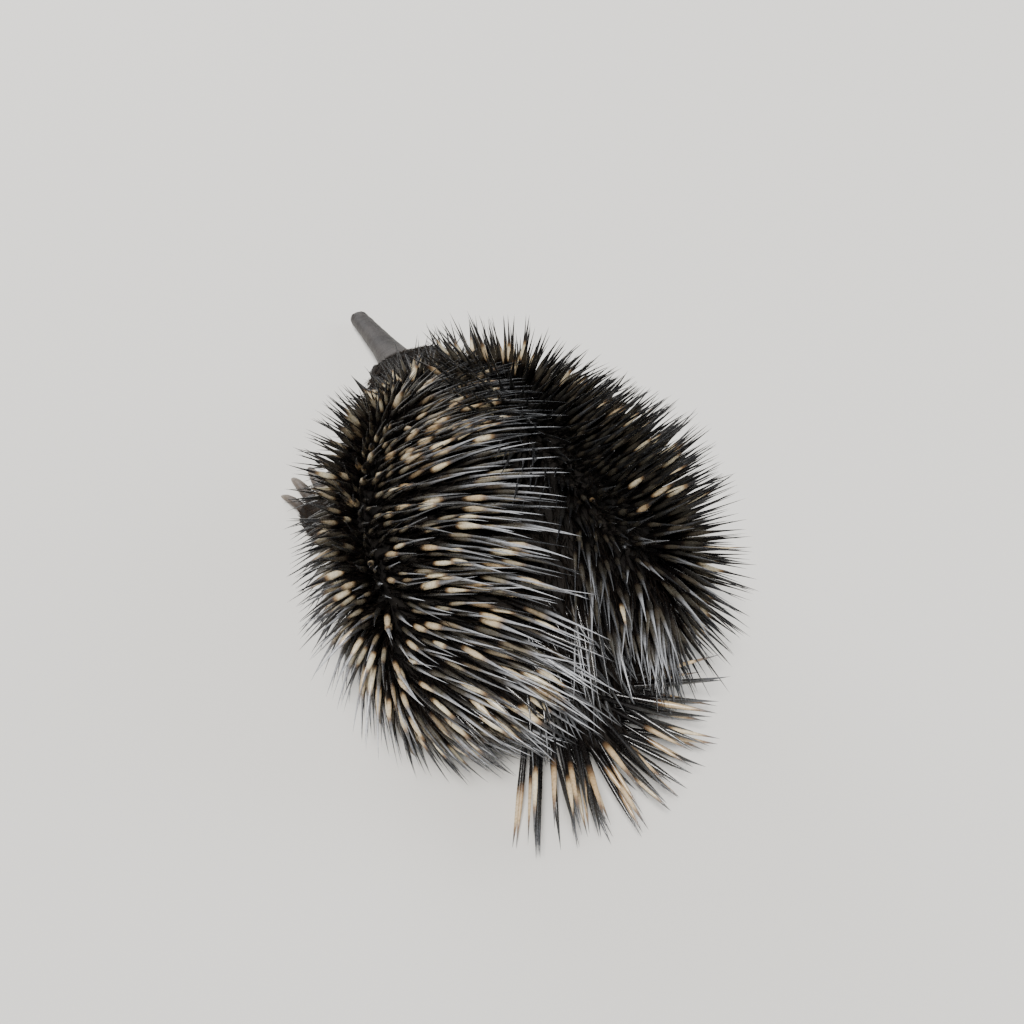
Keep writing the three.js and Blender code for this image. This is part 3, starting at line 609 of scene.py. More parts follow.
# what each sampled point belongs to
def sort_points(P):
    s, side, psi, level = body_coords(P)
    kind = np.full(len(P), "body", object)
    part = np.zeros(len(P), int)
    out = level > 1.045
    best = np.full(len(P), 1e9)
    t, d, _ = segment_coords(P, TAIL_ROOT - TAIL_BACK * 4, TAIL_ROOT + TAIL_BACK * 27)
    ok = (s < 30) & (out | (s < 0)) & (d < 24) & (t > 0.12)
    kind[ok] = "tail"
    k = 0
    for name, L in LEGS.items():
        for q in (-1, 1):
            k += 1
            p = leg_points(L, q)
            root, dirn, sidev = FOOT[(name, q)]
            rel = P - root
            f, w = rel @ dirn, rel @ sidev
            infoot = (f > -L["heel"] - 2) & (f < L["reach"] + 12) & (np.abs(w) < L["w"] + 7) & (P[:, 2] < L["h"] + 0.5) & out
            t1, d1, _ = segment_coords(P, p[0], p[1])
            t2, d2, _ = segment_coords(P, p[1], p[2])
            inleg = (np.minimum(d1, d2) < 19) & out & ~infoot & (kind != "tail")
            kind[inleg] = "leg"
            part[inleg] = k
            kind[infoot] = "foot"
            part[infoot] = k
    for q in (-1, 1):
        c = ear_frame(q)[0]
        near = (np.linalg.norm(P - c, axis=1) < 9) & (level > 1.01)
        kind[near] = "ear"
    return s, side, psi, level, kind, part


# the unwrap that the tufts' patches sit on: the body as a sheet of s and psi, each
# limb and the tail as a sheet of its own below it
def root_uv(P, s, psi, kind, part):
    u = 0.01 + 0.98 * (psi / (2 * math.pi) + 0.5)
    v = 0.27 + 0.72 * np.clip(s_to_row(np.clip(s, 0, TIP)) / 5.75, 0, 1)
    k = 0
    for name, L in LEGS.items():
        for q in (-1, 1):
            k += 1
            m = part == k
            if m.any():
                root, dirn, sidev = FOOT[(name, q)]
                rel = P[m] - root
                f, w = rel @ dirn, rel @ sidev
                ang = np.arctan2(P[m][:, 2] - 5, w) / (2 * math.pi) + 0.5
                u[m] = 0.2 * (k - 1) + 0.01 + 0.18 * ang
                v[m] = 0.01 + 0.23 * np.clip((P[m][:, 2] * 0.7 + f + 22) / 80, 0, 1)
    m = kind == "tail"
    if m.any():
        rel = P[m] - TAIL_ROOT
        ang = np.arctan2(rel @ TAIL_UP, rel @ TAIL_SIDE) / (2 * math.pi) + 0.5
        u[m] = 0.81 + 0.18 * ang
        v[m] = 0.01 + 0.23 * np.clip((rel @ TAIL_BACK + 12) / 45, 0, 1)
    return np.stack([u, v], -1)


# ------------------------------------------------------------ the lie of the coat
def mixed(a, b, t): return a + (b - a) * t


def coat_depth(s, psi):
    """Depth of the solids over their own sections, out to the tips of the quills."""
    a = np.abs(psi / DEG)
    slope = smooth(20, 52, psi / DEG)
    flat = smooth(95, 150, s) * slope
    d = mixed(COAT["left"], mixed(COAT["right"], COAT["hip"], smooth(95, 50, s) * smooth(35, 70, a)), smooth(-22, 22, psi / DEG))
    d = mixed(d, COAT["shoulder"], flat)
    root = skin(np.clip(s, RIDGE[0], RIDGE[1]), np.where(psi > 0, 1, -1) * RIDGE[2] * DEG, SECTIONS)
    away = np.linalg.norm(skin(s, psi, SECTIONS) - root, axis=-1) / RIDGE[4]
    d = d + RIDGE[3] * np.exp(-away * away) * (1 - 0.8 * flat)
    d = mixed(d, COAT["rump"], smooth(28, 0, s) * 0.8)
    d = mixed(d, mixed(COAT["neck"], COAT["shoulder"], slope), smooth(140, 175, s))
    d = mixed(d, COAT["crown"], smooth(178, 214, s))
    d = mixed(d, mixed(COAT["crown"], COAT["cheek"], smooth(30, 75, a)), smooth(206, 222, s))
    d = mixed(d, 0.5, smooth(236, HEAD_TO, s))
    under = mixed(smooth(104, 142, a), smooth(88, 120, a), smooth(150, 200, s))
    return mixed(d, np.minimum(d, COAT["belly"]), under)


def envelope_tree():
    """The outline of the solids as a closed surface, to find how far a tip is from it."""
    rows = np.linspace(0.03, s_to_row(np.array(250.0)), 110)
    s, psi = np.meshgrid(row_to_s(rows), np.arange(96) / 96 * 2 * math.pi - math.pi, indexing="ij")
    co, (q, t) = loft_arrays(skin(s, psi, SECTIONS) + coat_depth(s, psi)[..., None] * normal(s, psi, SECTIONS))
    tri = np.concatenate([t, q[:, :3], q[:, [0, 2, 3]]])
    return BVHTree.FromPolygons(co.tolist(), tri.tolist())


ENVELOPE = envelope_tree()


def beyond(P):
    """Distance of points outside (+) or inside (-) the outline."""
    out = np.empty(len(P))
    for i, p in enumerate(P.tolist()):
        near, n, _, dist = ENVELOPE.find_nearest(p)
        out[i] = dist if (Vector(p) - near).dot(n) > 0 else -dist
    return out


# the lie of the left half, combed flat over the back from a parting low on the
# left side: s, psi of the root, direction (degrees from forward toward growing
# psi) and how far the quills stand up at the middle of their length
LIE_LEFT = [
    (215, -16, 39, 39), (212, -8, 48, 38), (213, -42, 100, 16), (204, -18, 126, 19), (189, -15, 129, 11), (159, -10, 139, 10),
    (172, -23, 148, 9), (174, -12, 135, 9), (202, -38, 140, 12), (204, -58, 130, 14), (129, -14, 130, 12), (137, -23, 129, 14),
    (151, -46, 146, 11), (138, -55, 136, 13), (126, -39, 126, 14), (117, -47, 131, 14), (109, -30, 118, 13), (100, -19, 111, 13),
    (101, -34, 115, 13), (117, -65, 130, 10), (123, -59, 131, 12), (105, -47, 126, 14), (87, -38, 129, 13), (86, -59, 127, 15),
    (67, -40, 126, 13), (59, -54, 126, 14), (47, -38, 123, 12), (50, -50, 130, 13), (50, -58, 141, 15), (38, -51, 136, 13),
    (35, -69, 141, 15), (23, -66, 154, 13), (25, -45, 141, 13), (32, -77, 150, 14), (37, -93, -178, 14), (47, -87, -142, 16),
    (50, -81, -133, 16), (26, -83, -178, 14), (16, -73, -167, 14), (14, -51, 171, 14), (14, -8, 140, 14), (23, 0, 130, 13),
    (60, -78, -112, 12), (60, -100, -120, 12), (90, -80, -100, 12), (90, -100, -112, 12), (120, -82, -92, 14), (120, -100, -105, 14),
    (150, -84, -78, 20), (150, -100, -98, 16), (180, -82, -60, 30), (180, -100, -88, 22), (205, -80, -30, 38), (205, -100, -80, 24),
    (70, -12, 118, 12), (50, -12, 122, 12), (150, -66, 138, 14), (178, -62, 132, 16)]
PARTING = [(52, -67), (80, -70), (120, -74), (160, -75), (176, -71), (192, -69)]
# the right half stands up and fans all round from a line along which the quills
# lean up and back
FAN_LINE = [(44, 38), (68, 25), (104, 12), (124, 8)]
FAN_AXIS = np.array([0.177, 0.618, 0.766])


def on_line(rows, n=60):
    rows = np.array(rows, float)
    ls = np.linspace(rows[0, 0], rows[-1, 0], n)
    return skin(ls, np.interp(ls, rows[:, 0], rows[:, 1]) * DEG)


def surface_frame(s, psi, n):
    """Forward and across (toward growing psi) in the surface."""
    f = forward(s)
    e1 = unit(f - n * (f * n).sum(-1, keepdims=True))
    e2 = np.cross(n, e1)
    dp = skin(s, psi + 2 * DEG) - skin(s, psi - 2 * DEG)
    return e1, e2 * np.where((e2 * dp).sum(-1) < 0, -1.0, 1.0)[..., None]


def fanned(P, s, psi):
    """The lean of the fan: up and back along its line, outward all round it."""
    L = on_line(FAN_LINE)
    v = P[:, None] - L[None]
    v = v - (v @ FAN_AXIS)[..., None] * FAN_AXIS
    k = np.linalg.norm(v, axis=-1).argmin(1)
    v = v[np.arange(len(P)), k]
    rho = np.linalg.norm(v, axis=1)
    down = unit(np.array([0.211, 0.736, -0.643]))
    v = unit(v) + down * (0.45 * smooth(75, 40, s) * smooth(0, 12, rho))[:, None]
    # beside the fringe they turn toward the tail and don't lean over it
    r = rightward(np.clip(s, 0, TIP))
    across, most = (v * r).sum(-1), mixed(0.0, -0.35, smooth(60, 112, s))
    v = v + r * (np.maximum(most - across, 0) * smooth(185, 150, s))[:, None]
    # steeper where they rise behind the left half's comb
    steep = smooth(24, 4, psi / DEG) * smooth(122, 150, s)
    off = (76 - 36 * steep) * (1 - np.exp(-rho / 24.0)) + 8 * smooth(40, 15, s)
    return unit(FAN_AXIS * np.cos(off * DEG)[:, None] + unit(v) * np.sin(off * DEG)[:, None])


def lie(P, s, psi, n, q):
    """Tangent of the lie, how far it stands up and the distance from the parting."""
    T = np.array(LIE_LEFT, float)
    cs, cp = T[:, 0], T[:, 1] * DEG
    C, cn = skin(cs, cp), normal(cs, cp)
    e1, e2 = surface_frame(cs, cp, cn)
    V = e1 * np.cos(T[:, 2] * DEG)[:, None] + e2 * np.sin(T[:, 2] * DEG)[:, None]
    w = 1 / (((P[:, None] - C[None]) ** 2).sum(-1) + 36.0) ** 2
    w = w * np.clip((n[:, None] * cn[None]).sum(-1), 0.02, 1)
    flat = (w[..., None] * V[None]).sum(1) / w.sum(1)[:, None]
    flat = unit(flat - n * (flat * n).sum(-1, keepdims=True))
    up = (w * T[None, :, 3]).sum(1) / w.sum(1)
    flat = flat * np.cos(up * DEG)[:, None] + n * np.sin(up * DEG)[:, None]
    d = unit(np.where((q < 0)[:, None], flat, fanned(P, s, psi)))
    # the short quills of the crown stand upright on both sides
    crown = (smooth(183, 201, s) * smooth(-104, -84, psi / DEG))[:, None]
    d = unit(d * (1 - crown) + unit(n * 0.80 + forward(s) * 0.26 + rightward(s) * (0.42 * np.sin(psi))[:, None]) * crown)
    lift = np.arcsin(np.clip((d * n).sum(-1), -1, 1)) / DEG
    t = unit(d - n * (d * n).sum(-1, keepdims=True))
    away = np.sqrt(((P[:, None] - on_line(PARTING)[None]) ** 2).sum(-1).min(1))
    return t, np.maximum(lift, 10), away


def strands(root, d, ref, L, R, bend, prof_t, prof_r, sides, zmin=0.7, sink=1.2):
    """Tapered round hairs or quills: returns vertices, faces and t along each."""
    N, K = len(root), len(prof_t)
    root = root - d * sink
    L = L + sink
    t = prof_t[None, :, None]
    C = root[:, None] + d[:, None] * (L[:, None, None] * t) + bend[:, None] * (L[:, None, None] * t ** 2)
    T = unit(d[:, None] + 2 * bend[:, None] * t)
    rr = R[:, None] * prof_r[None]
    C[..., 2] = np.maximum(C[..., 2], zmin + rr)
    a = unit(np.cross(T, ref[:, None]))
    b = np.cross(T, a)
    th = np.arange(sides) / sides * 2 * math.pi
    ring = C[:, :, None] + rr[:, :, None, None] * (np.cos(th)[None, None, :, None] * a[:, :, None] + np.sin(th)[None, None, :, None] * b[:, :, None])
    tip = root + d * L[:, None] + bend * L[:, None]
    tip[:, 2] = np.maximum(tip[:, 2], zmin)
    V = np.concatenate([ring.reshape(N, K * sides, 3), tip[:, None]], 1)
    M = K * sides + 1
    base = (np.arange(N) * M)[:, None]
    i = np.arange(sides)
    quads = np.concatenate([np.stack([k * sides + i, k * sides + (i + 1) % sides, (k + 1) * sides + (i + 1) % sides, (k + 1) * sides + i], -1) for k in range(K - 1)])
    quads = (base[:, :, None] + quads[None]).reshape(-1, 4)
    tris = np.stack([(K - 1) * sides + i, (K - 1) * sides + (i + 1) % sides, np.full(sides, K * sides)], -1)
    tris = (base[:, :, None] + tris[None]).reshape(-1, 3)
    capf = (base + i[::-1][None]).reshape(N, sides)
    along = np.concatenate([np.repeat(prof_t, sides), [1.0]])
    across = np.concatenate([np.tile(i / sides, K), [0.5]])
    return V.reshape(-1, 3), [quads, tris, capf], np.tile(along, N), np.tile(across, N), M


def perp(d):
    ref = np.where(np.abs(d[:, 2:3]) > 0.8, np.array([[1.0, 0, 0]]), np.array([[0, 0, 1.0]]))
    return unit(np.cross(d, ref))


def rotate_about(v, axis, ang):
    c, s_ = np.cos(ang)[:, None], np.sin(ang)[:, None]
    return v * c + np.cross(axis, v) * s_ + axis * (axis * v).sum(-1, keepdims=True) * (1 - c)


QUILL_T = np.array([0.0, 0.15, 0.32, 0.46, 0.57, 0.73, 0.90])
QUILL_R = np.array([0.55, 0.78, 0.98, 1.00, 0.60, 0.31, 0.13])
TAIL_R = np.array([0.60, 0.78, 0.90, 1.00, 0.98, 0.70, 0.28])
HAIR_T = np.array([0.0, 0.4, 0.75])
HAIR_R = np.array([1.0, 0.85, 0.5])


def piece(name, V, faces, along, across, M, per_root, uv_root, mat):
    n = len(V) // M
    rep = lambda x: np.repeat(x, M)
    uv = np.repeat(uv_root, M, axis=0) + 0.003 * (np.stack([across, along], -1) - 0.5)
    attrs = {"along": along}
    for k, v in per_root.items():
        attrs[k] = rep(v)
    me = make_mesh(name, V, faces, uv=uv, attrs=attrs)
    me.materials.append(mat)
    o = new_object(name, me)
    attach(o, "root")
    return o


# ------------------------------------------------------------ materials
def mat_new(name):
    m = bpy.data.materials.new(name)
    m.use_nodes = True
    nt = m.node_tree
    bsdf = nt.nodes["Principled BSDF"]
    return m, nt, bsdf


def add(nt, kind, **props):
    nd = nt.nodes.new(kind)
    for k, v in props.items():
        setattr(nd, k, v)
    return nd


def ramp(nt, fac, stops, interp="LINEAR"):
    r = add(nt, "ShaderNodeValToRGB")
    r.color_ramp.interpolation = interp
    els = r.color_ramp.elements
    while len(els) > 1:
        els.remove(els[-1])
    els[0].position, els[0].color = stops[0][0], (*stops[0][1], 1)
    for p, c in stops[1:]:
        e = els.new(p)
        e.color = (*c, 1)
    if fac is not None:
        nt.links.new(fac, r.inputs["Fac"])
    return r


def attr(nt, name):
    return add(nt, "ShaderNodeAttribute", attribute_name=name).outputs["Fac"]


def math_node(nt, op, a, b=None, clamp=False):
    m = add(nt, "ShaderNodeMath", operation=op, use_clamp=clamp)
    for i, v in enumerate((a, b)):
        if v is None:
            continue
        if isinstance(v, (int, float)):
            m.inputs[i].default_value = v
        else:
            nt.links.new(v, m.inputs[i])
    return m.outputs[0]


def mix_color(nt, fac, a, b, blend="MIX"):
    m = add(nt, "ShaderNodeMix", data_type="RGBA", blend_type=blend)
    if isinstance(fac, (int, float)):
        m.inputs[0].default_value = fac
    else:
        nt.links.new(fac, m.inputs[0])
    for i, v in ((6, a), (7, b)):
        if isinstance(v, tuple):
            m.inputs[i].default_value = (*v, 1)
        else:
            nt.links.new(v, m.inputs[i])
    return m.outputs[2]


def quill_material():
    m, nt, b = mat_new("quill_horn")
    # the last of these attributes is the strength of the painted highlight on the tips
    along, rnd, dull, tone, painted_glint = (attr(nt, k) for k in ("along", "rnd", "dull", "tone", "painted_glint"))
    # each quill has its own place and length of band
    shift = math_node(nt, "MULTIPLY", math_node(nt, "SUBTRACT", rnd, 0.5), 0.10)
    t = math_node(nt, "ADD", along, shift)
    stretch = math_node(nt, "ADD", 1.0, math_node(nt, "MULTIPLY", attr(nt, "band"), -0.34))
    t = math_node(nt, "MULTIPLY", t, stretch)
    dark0, dark1 = (0.0035, 0.0030, 0.0030), (0.0060, 0.0045, 0.0040)
    light = ramp(nt, t, [(0.0, dark0), (0.30, dark1), (0.325, (0.24, 0.15, 0.075)), (0.355, (0.80, 0.66, 0.42)),
                         (0.43, (0.93, 0.85, 0.64)), (0.50, (0.86, 0.74, 0.50)), (0.535, (0.33, 0.22, 0.12)),
                         (0.575, (0.040, 0.033, 0.030)), (0.66, (0.010, 0.010, 0.012)), (1.0, (0.005, 0.005, 0.007))])
    tan = ramp(nt, t, [(0.0, dark0), (0.29, dark1), (0.335, (0.13, 0.075, 0.036)), (0.38, (0.50, 0.34, 0.18)),
                       (0.49, (0.58, 0.41, 0.22)), (0.54, (0.20, 0.115, 0.055)), (0.60, (0.034, 0.026, 0.020)),
                       (0.74, (0.009, 0.009, 0.010)), (1.0, (0.005, 0.005, 0.007))])
    col = mix_color(nt, tone, light.outputs["Color"], tan.outputs["Color"])
    plain = ramp(nt, t, [(0.0, dark0), (0.33, (0.006, 0.005, 0.005)), (0.37, (0.015, 0.014, 0.013)), (0.48, (0.021, 0.020, 0.018)), (0.55, (0.009, 0.009, 0.009)), (0.65, (0.007, 0.007, 0.008)), (1.0, (0.005, 0.005, 0.007))])
    col = mix_color(nt, dull, col, plain.outputs["Color"])
    # the bare tips are painted grey-white: a painted highlight for the glint of light on the glossy black horn
    glint_ramp = ramp(nt, t, [(0.0, (0, 0, 0)), (0.48, (0, 0, 0)), (0.62, (0.7, 0.7, 0.7)), (0.80, (1, 1, 1)), (1.0, (0.9, 0.9, 0.9))])
    tips = math_node(nt, "MULTIPLY", glint_ramp.outputs["Color"], painted_glint)
    col = mix_color(nt, math_node(nt, "MULTIPLY", tips, 0.9), col, (0.62, 0.64, 0.68))
    # fine streaks along the horn
    tc = add(nt, "ShaderNodeTexCoord")
    nz = add(nt, "ShaderNodeTexNoise")
    nz.inputs["Scale"].default_value = 900
    nz.inputs["Detail"].default_value = 2
    nt.links.new(tc.outputs["Object"], nz.inputs["Vector"])
    var = ramp(nt, nz.outputs["Fac"], [(0.3, (0.72, 0.70, 0.68)), (0.7, (1.0, 1.0, 1.0))])
    col = mix_color(nt, 1.0, col, var.outputs["Color"], "MULTIPLY")
    nt.links.new(col, b.inputs["Base Color"])
    rr = math_node(nt, "ADD", 0.20, math_node(nt, "MULTIPLY", nz.outputs["Fac"], 0.16))
    nt.links.new(rr, b.inputs["Roughness"])
    b.inputs["Specular IOR Level"].default_value = 0.62
    b.inputs["Coat Weight"].default_value = 0.25
    b.inputs["Coat Roughness"].default_value = 0.22
    bp = add(nt, "ShaderNodeBump")
    bp.inputs["Strength"].default_value = 0.12
    bp.inputs["Distance"].default_value = 0.0004
    nt.links.new(nz.outputs["Fac"], bp.inputs["Height"])
    nt.links.new(bp.outputs["Normal"], b.inputs["Normal"])
    return m


def fur_material():
    m, nt, b = mat_new("fur_hair")
    along, rnd, tone = attr(nt, "along"), attr(nt, "rnd"), attr(nt, "tone")
    base = ramp(nt, along, [(0.0, (0.003, 0.0022, 0.0018)), (0.5, (0.006, 0.0042, 0.0032)), (1.0, (0.012, 0.0085, 0.006))])
    warm = ramp(nt, along, [(0.0, (0.007, 0.0045, 0.003)), (0.5, (0.030, 0.018, 0.010)), (1.0, (0.070, 0.042, 0.023))])
    col = mix_color(nt, math_node(nt, "MULTIPLY", rnd, tone, clamp=True), base.outputs["Color"], warm.outputs["Color"])
    nt.links.new(col, b.inputs["Base Color"])
    b.inputs["Roughness"].default_value = 0.55
    b.inputs["Specular IOR Level"].default_value = 0.15
    return m


def skin_material():
    m, nt, b = mat_new("skin_hide")
    tc = add(nt, "ShaderNodeTexCoord")
    beak, foot = attr(nt, "beak"), attr(nt, "foot")
    big = add(nt, "ShaderNodeTexNoise")
    big.inputs["Scale"].default_value = 60
    big.inputs["Detail"].default_value = 5
    nt.links.new(tc.outputs["Object"], big.inputs["Vector"])
    fine = add(nt, "ShaderNodeTexVoronoi", feature="DISTANCE_TO_EDGE")
    fine.inputs["Scale"].default_value = 900
    nt.links.new(tc.outputs["Object"], fine.inputs["Vector"])
    hide = ramp(nt, big.outputs["Fac"], [(0.3, (0.004, 0.003, 0.0024)), (0.7, (0.010, 0.007, 0.005))])
    bare = ramp(nt, big.outputs["Fac"], [(0.25, (0.024, 0.021, 0.020)), (0.5, (0.045, 0.040, 0.038)), (0.8, (0.085, 0.074, 0.068))])
    sole = ramp(nt, big.outputs["Fac"], [(0.25, (0.040, 0.030, 0.024)), (0.8, (0.095, 0.070, 0.055))])
    col = mix_color(nt, beak, hide.outputs["Color"], bare.outputs["Color"])
    col = mix_color(nt, foot, col, sole.outputs["Color"])
    # painted shade: the skin's colour is darkened in the fine grooves of the grain, where shade falls
    crease_shade = ramp(nt, fine.outputs["Distance"], [(0.0, (0.55, 0.55, 0.55)), (0.12, (1, 1, 1))])
    col = mix_color(nt, 0.7, col, crease_shade.outputs["Color"], "MULTIPLY")
    nt.links.new(col, b.inputs["Base Color"])
    ro = math_node(nt, "ADD", 0.84, math_node(nt, "MULTIPLY", beak, -0.40))
    ro = math_node(nt, "ADD", ro, math_node(nt, "MULTIPLY", big.outputs["Fac"], 0.12))
    nt.links.new(ro, b.inputs["Roughness"])
    # fine pebbled grain
    hgt = math_node(nt, "ADD", math_node(nt, "MULTIPLY", fine.outputs["Distance"], 1.0), math_node(nt, "MULTIPLY", big.outputs["Fac"], 0.6))
    bp = add(nt, "ShaderNodeBump")
    b.inputs["Specular IOR Level"].default_value = 0.35
    bp.inputs["Strength"].default_value = 0.5
    bp.inputs["Distance"].default_value = 0.0005
    nt.links.new(hgt, bp.inputs["Height"])
    nt.links.new(bp.outputs["Normal"], b.inputs["Normal"])
    return m


def claw_material():
    m, nt, b = mat_new("claw_horn")
    tc = add(nt, "ShaderNodeTexCoord")
    nz = add(nt, "ShaderNodeTexNoise")
    nz.inputs["Scale"].default_value = 380
    nz.inputs["Detail"].default_value = 4
    nt.links.new(tc.outputs["Object"], nz.inputs["Vector"])
    along = attr(nt, "along")
    base = ramp(nt, along, [(0.0, (0.035, 0.028, 0.024)), (0.45, (0.075, 0.060, 0.050)), (0.8, (0.15, 0.12, 0.095)), (1.0, (0.24, 0.20, 0.16))])
    var = ramp(nt, nz.outputs["Fac"], [(0.3, (0.6, 0.58, 0.56)), (0.7, (1.1, 1.08, 1.05))])
    nt.links.new(mix_color(nt, 1.0, base.outputs["Color"], var.outputs["Color"], "MULTIPLY"), b.inputs["Base Color"])
    nt.links.new(math_node(nt, "ADD", 0.30, math_node(nt, "MULTIPLY", nz.outputs["Fac"], 0.22)), b.inputs["Roughness"])
    bp = add(nt, "ShaderNodeBump")
    bp.inputs["Strength"].default_value = 0.25
    bp.inputs["Distance"].default_value = 0.0004
    nt.links.new(nz.outputs["Fac"], bp.inputs["Height"])
    nt.links.new(bp.outputs["Normal"], b.inputs["Normal"])
    return m


def eye_material():
    m, nt, b = mat_new("eye_wet")
    r = ramp(nt, attr(nt, "pole"), [(0.0, (0.004, 0.003, 0.003)), (0.42, (0.004, 0.003, 0.003)), (0.50, (0.030, 0.016, 0.008)), (0.80, (0.022, 0.012, 0.007)), (1.0, (0.010, 0.008, 0.008))])
    nt.links.new(r.outputs["Color"], b.inputs["Base Color"])
    b.inputs["Roughness"].default_value = 0.06
    b.inputs["Specular IOR Level"].default_value = 0.4
    b.inputs["Coat Weight"].default_value = 0.4
    b.inputs["Coat Roughness"].default_value = 0.03
    return m


QUILL, FUR, SKIN, HORN, WET = quill_material(), fur_material(), skin_material(), claw_material(), eye_material()

# ------------------------------------------------------------ skin piece
s_, side_, psi_, level_ = body_coords(SK_CO)
beak_mask = smooth(250, 257, s_ + 2.0 * noise3(SK_CO, 12, 3))
for q in (-1, 1):
    c, nn, up, f = eye_frame(q)
    beak_mask = np.maximum(beak_mask, 0.42 * smooth(6.6, 4.2, np.linalg.norm(SK_CO - c, axis=1)))
foot_mask = smooth(9, 3, SK_CO[:, 2]) * smooth(1.02, 1.06, level_) * (s_ > 8)
for key, val in (("beak", beak_mask), ("foot", foot_mask)):
    at = skin_me.attributes.new(key, "FLOAT", "POINT")
    at.data.foreach_set("value", np.ascontiguousarray(val, np.float32))
skin_me.materials.append(SKIN)
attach(skin_ob, "root")
flesh = ["trunk", "neck", "head", "beak", "tail", "ear_l", "ear_r"]
flesh += [f"{p}_{t}" for p in ("foreleg", "hindleg", "forefoot", "hindfoot") for t in "lr"]
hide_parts(*flesh)

# ------------------------------------------------------------ eyes
for tag, q in (("l", -1), ("r", 1)):
    c, n, up, f = eye_frame(q)
    lat = np.linspace(-86, 86, 25) * DEG
    th = np.arange(36) / 36 * 2 * math.pi
    r = EYE["r"] - 0.12
    bulge = 1 + 0.045 * smooth(40 * DEG, 90 * DEG, lat)
    rings = c + (r * bulge * np.sin(lat))[:, None, None] * n + (r * np.cos(lat))[:, None, None] * (np.cos(th)[None, :, None] * f + np.sin(th)[None, :, None] * up)
    co, faces = loft_arrays(rings, c - n * r, c + n * r * 1.045)
    d = unit(co - c)
    pole = np.arccos(np.clip(d @ n, -1, 1)) / (70 * DEG)
    me = make_mesh(f"eyeball_{tag}", co, faces, attrs={"pole": np.clip(pole, 0, 1)})
    me.materials.append(WET)
    o = new_object(f"eyeball_{tag}", me)
    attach(o, "root")
    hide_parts(f"eye_{tag}")

# ------------------------------------------------------------ claws
for name, L in LEGS.items():
    for tag, q in (("l", -1), ("r", 1)):
        for i, row in enumerate(L["claws"]):
            line, w, h = claw_line(L, q, row, name == "hind")
            n, sides = 26, 18
            C = spline(line, n)
            T = unit(np.gradient(C, axis=0))
            a = unit(np.cross(T, [0, 0, 1.0]))
            b = np.cross(a, T)
            t = np.linspace(0, 1, n)
            end = 0.16 if name == "hind" else 0.30
            wid = np.interp(t, [0, 0.3, 0.55, 0.8, 0.94, 1], [0.92, 1.0, 0.94, 0.74, 0.50, end])
            hei = np.interp(t, [0, 0.3, 0.55, 0.8, 0.94, 1], [0.95, 0.96, 0.84, 0.60, 0.36, 0.16])
            th = np.arange(sides) / sides * 2 * math.pi
            cs, sn = np.cos(th), np.sin(th)
            # rounded above, flat to hollow below, with a faint keel
            yy = w * wid[:, None] * np.sign(cs) * np.abs(cs) ** 0.9
            zz = h * hei[:, None] * np.where(sn > 0, np.abs(sn) ** 0.85 * (1 + 0.10 * np.exp(-(cs / 0.25) ** 2)), -0.55 * np.abs(sn) ** 0.6)
            grow = 1 + 0.03 * np.sin(t * 60)[:, None] * (t[:, None] < 0.6)
            rings = C[:, None] + (yy * grow)[:, :, None] * a[:, None] + (zz * grow)[:, :, None] * b[:, None]
            rings[..., 2] = np.maximum(rings[..., 2], 0.5)
            co, faces = loft_arrays(rings, C[0] - T[0] * 1.0, C[-1] + T[-1] * w * 0.25)
            al = np.concatenate([np.repeat(t, sides), [0, 1]])
            me = make_mesh(f"horn_{name}_{tag}_{i + 1}", co, faces, attrs={"along": al})
            me.materials.append(HORN)
            o = new_object(f"horn_{name}_{tag}_{i + 1}", me)
            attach(o, "root")
            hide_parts(f"claw_{name[0]}{tag}_{i + 1}")

# ------------------------------------------------------------ quills
P, N = scatter(70000)
s, side, psi, level, kind, part = sort_points(P)
a = np.abs(psi) / DEG
# the fringe of the left half lies over a strip beside the spine that bears no
# roots of its own; the right half begins beyond it
gap = 8.0 * smooth(132, 105, s)
split = -4 * smooth(140, 115, s)
q = np.where(psi / DEG < split, -1, 1)
left_on = (psi / DEG < split - gap) & (s > 8)
right_on = (psi / DEG > split + gap + mixed(13, 3, smooth(70, 92, s)) * smooth(126, 110, s) * smooth(24, 44, s)) & (s > 16) & (side > 13 * smooth(60, 40, s))
on_body = (kind == "body") & (s < 214) & (a < 116 - 22 * smooth(150, 205, s)) & (P[:, 2] > 13) & (left_on | right_on)
# the rump between the two halves bears quills that fan out with those of the tail
on_rump = (kind == "body") & (s < 15) & ~on_body & (P[:, 2] > 14) & (P[:, 2] < 41) & (side > -12) & (side < 36)
on_tail = ((kind == "tail") & (N[:, 2] > -0.7)) | on_rump
# short dark quills fill the hollow above it, where the two halves part
on_hollow = (kind == "body") & (s < 38) & ~on_body & ~on_rump & (P[:, 2] > 40) & (P[:, 2] < 94) & (side > -16) & (side < 30)
parted = np.sqrt(((P[:, None] - on_line(PARTING, 24)[None]) ** 2).sum(-1).min(1))
spacing = np.where(on_tail, 4.3, np.where(psi / DEG < split, 3.85, 3.8) - 0.8 * smooth(160, 205, s) - 0.3 * smooth(95, 115, a) - 1.2 * smooth(15, 6, parted) - 0.4 * ((q > 0) & (s > 40) & (s < 130)))
use = on_body | on_tail | on_hollow
idx = np.flatnonzero(use)
idx = idx[thin_out(P[idx], spacing[idx], 4.5)]
P, N, s, side, psi, kind, part, a, q, tail, hollow = P[idx], N[idx], s[idx], side[idx], psi[idx], kind[idx], part[idx], a[idx], q[idx], on_tail[idx], on_hollow[idx]
count = len(P)
nb = normal(np.clip(s, 0.5, TIP), psi)
nb[tail] = N[tail]
t, lift, away = lie(P, s, psi, nb, q)
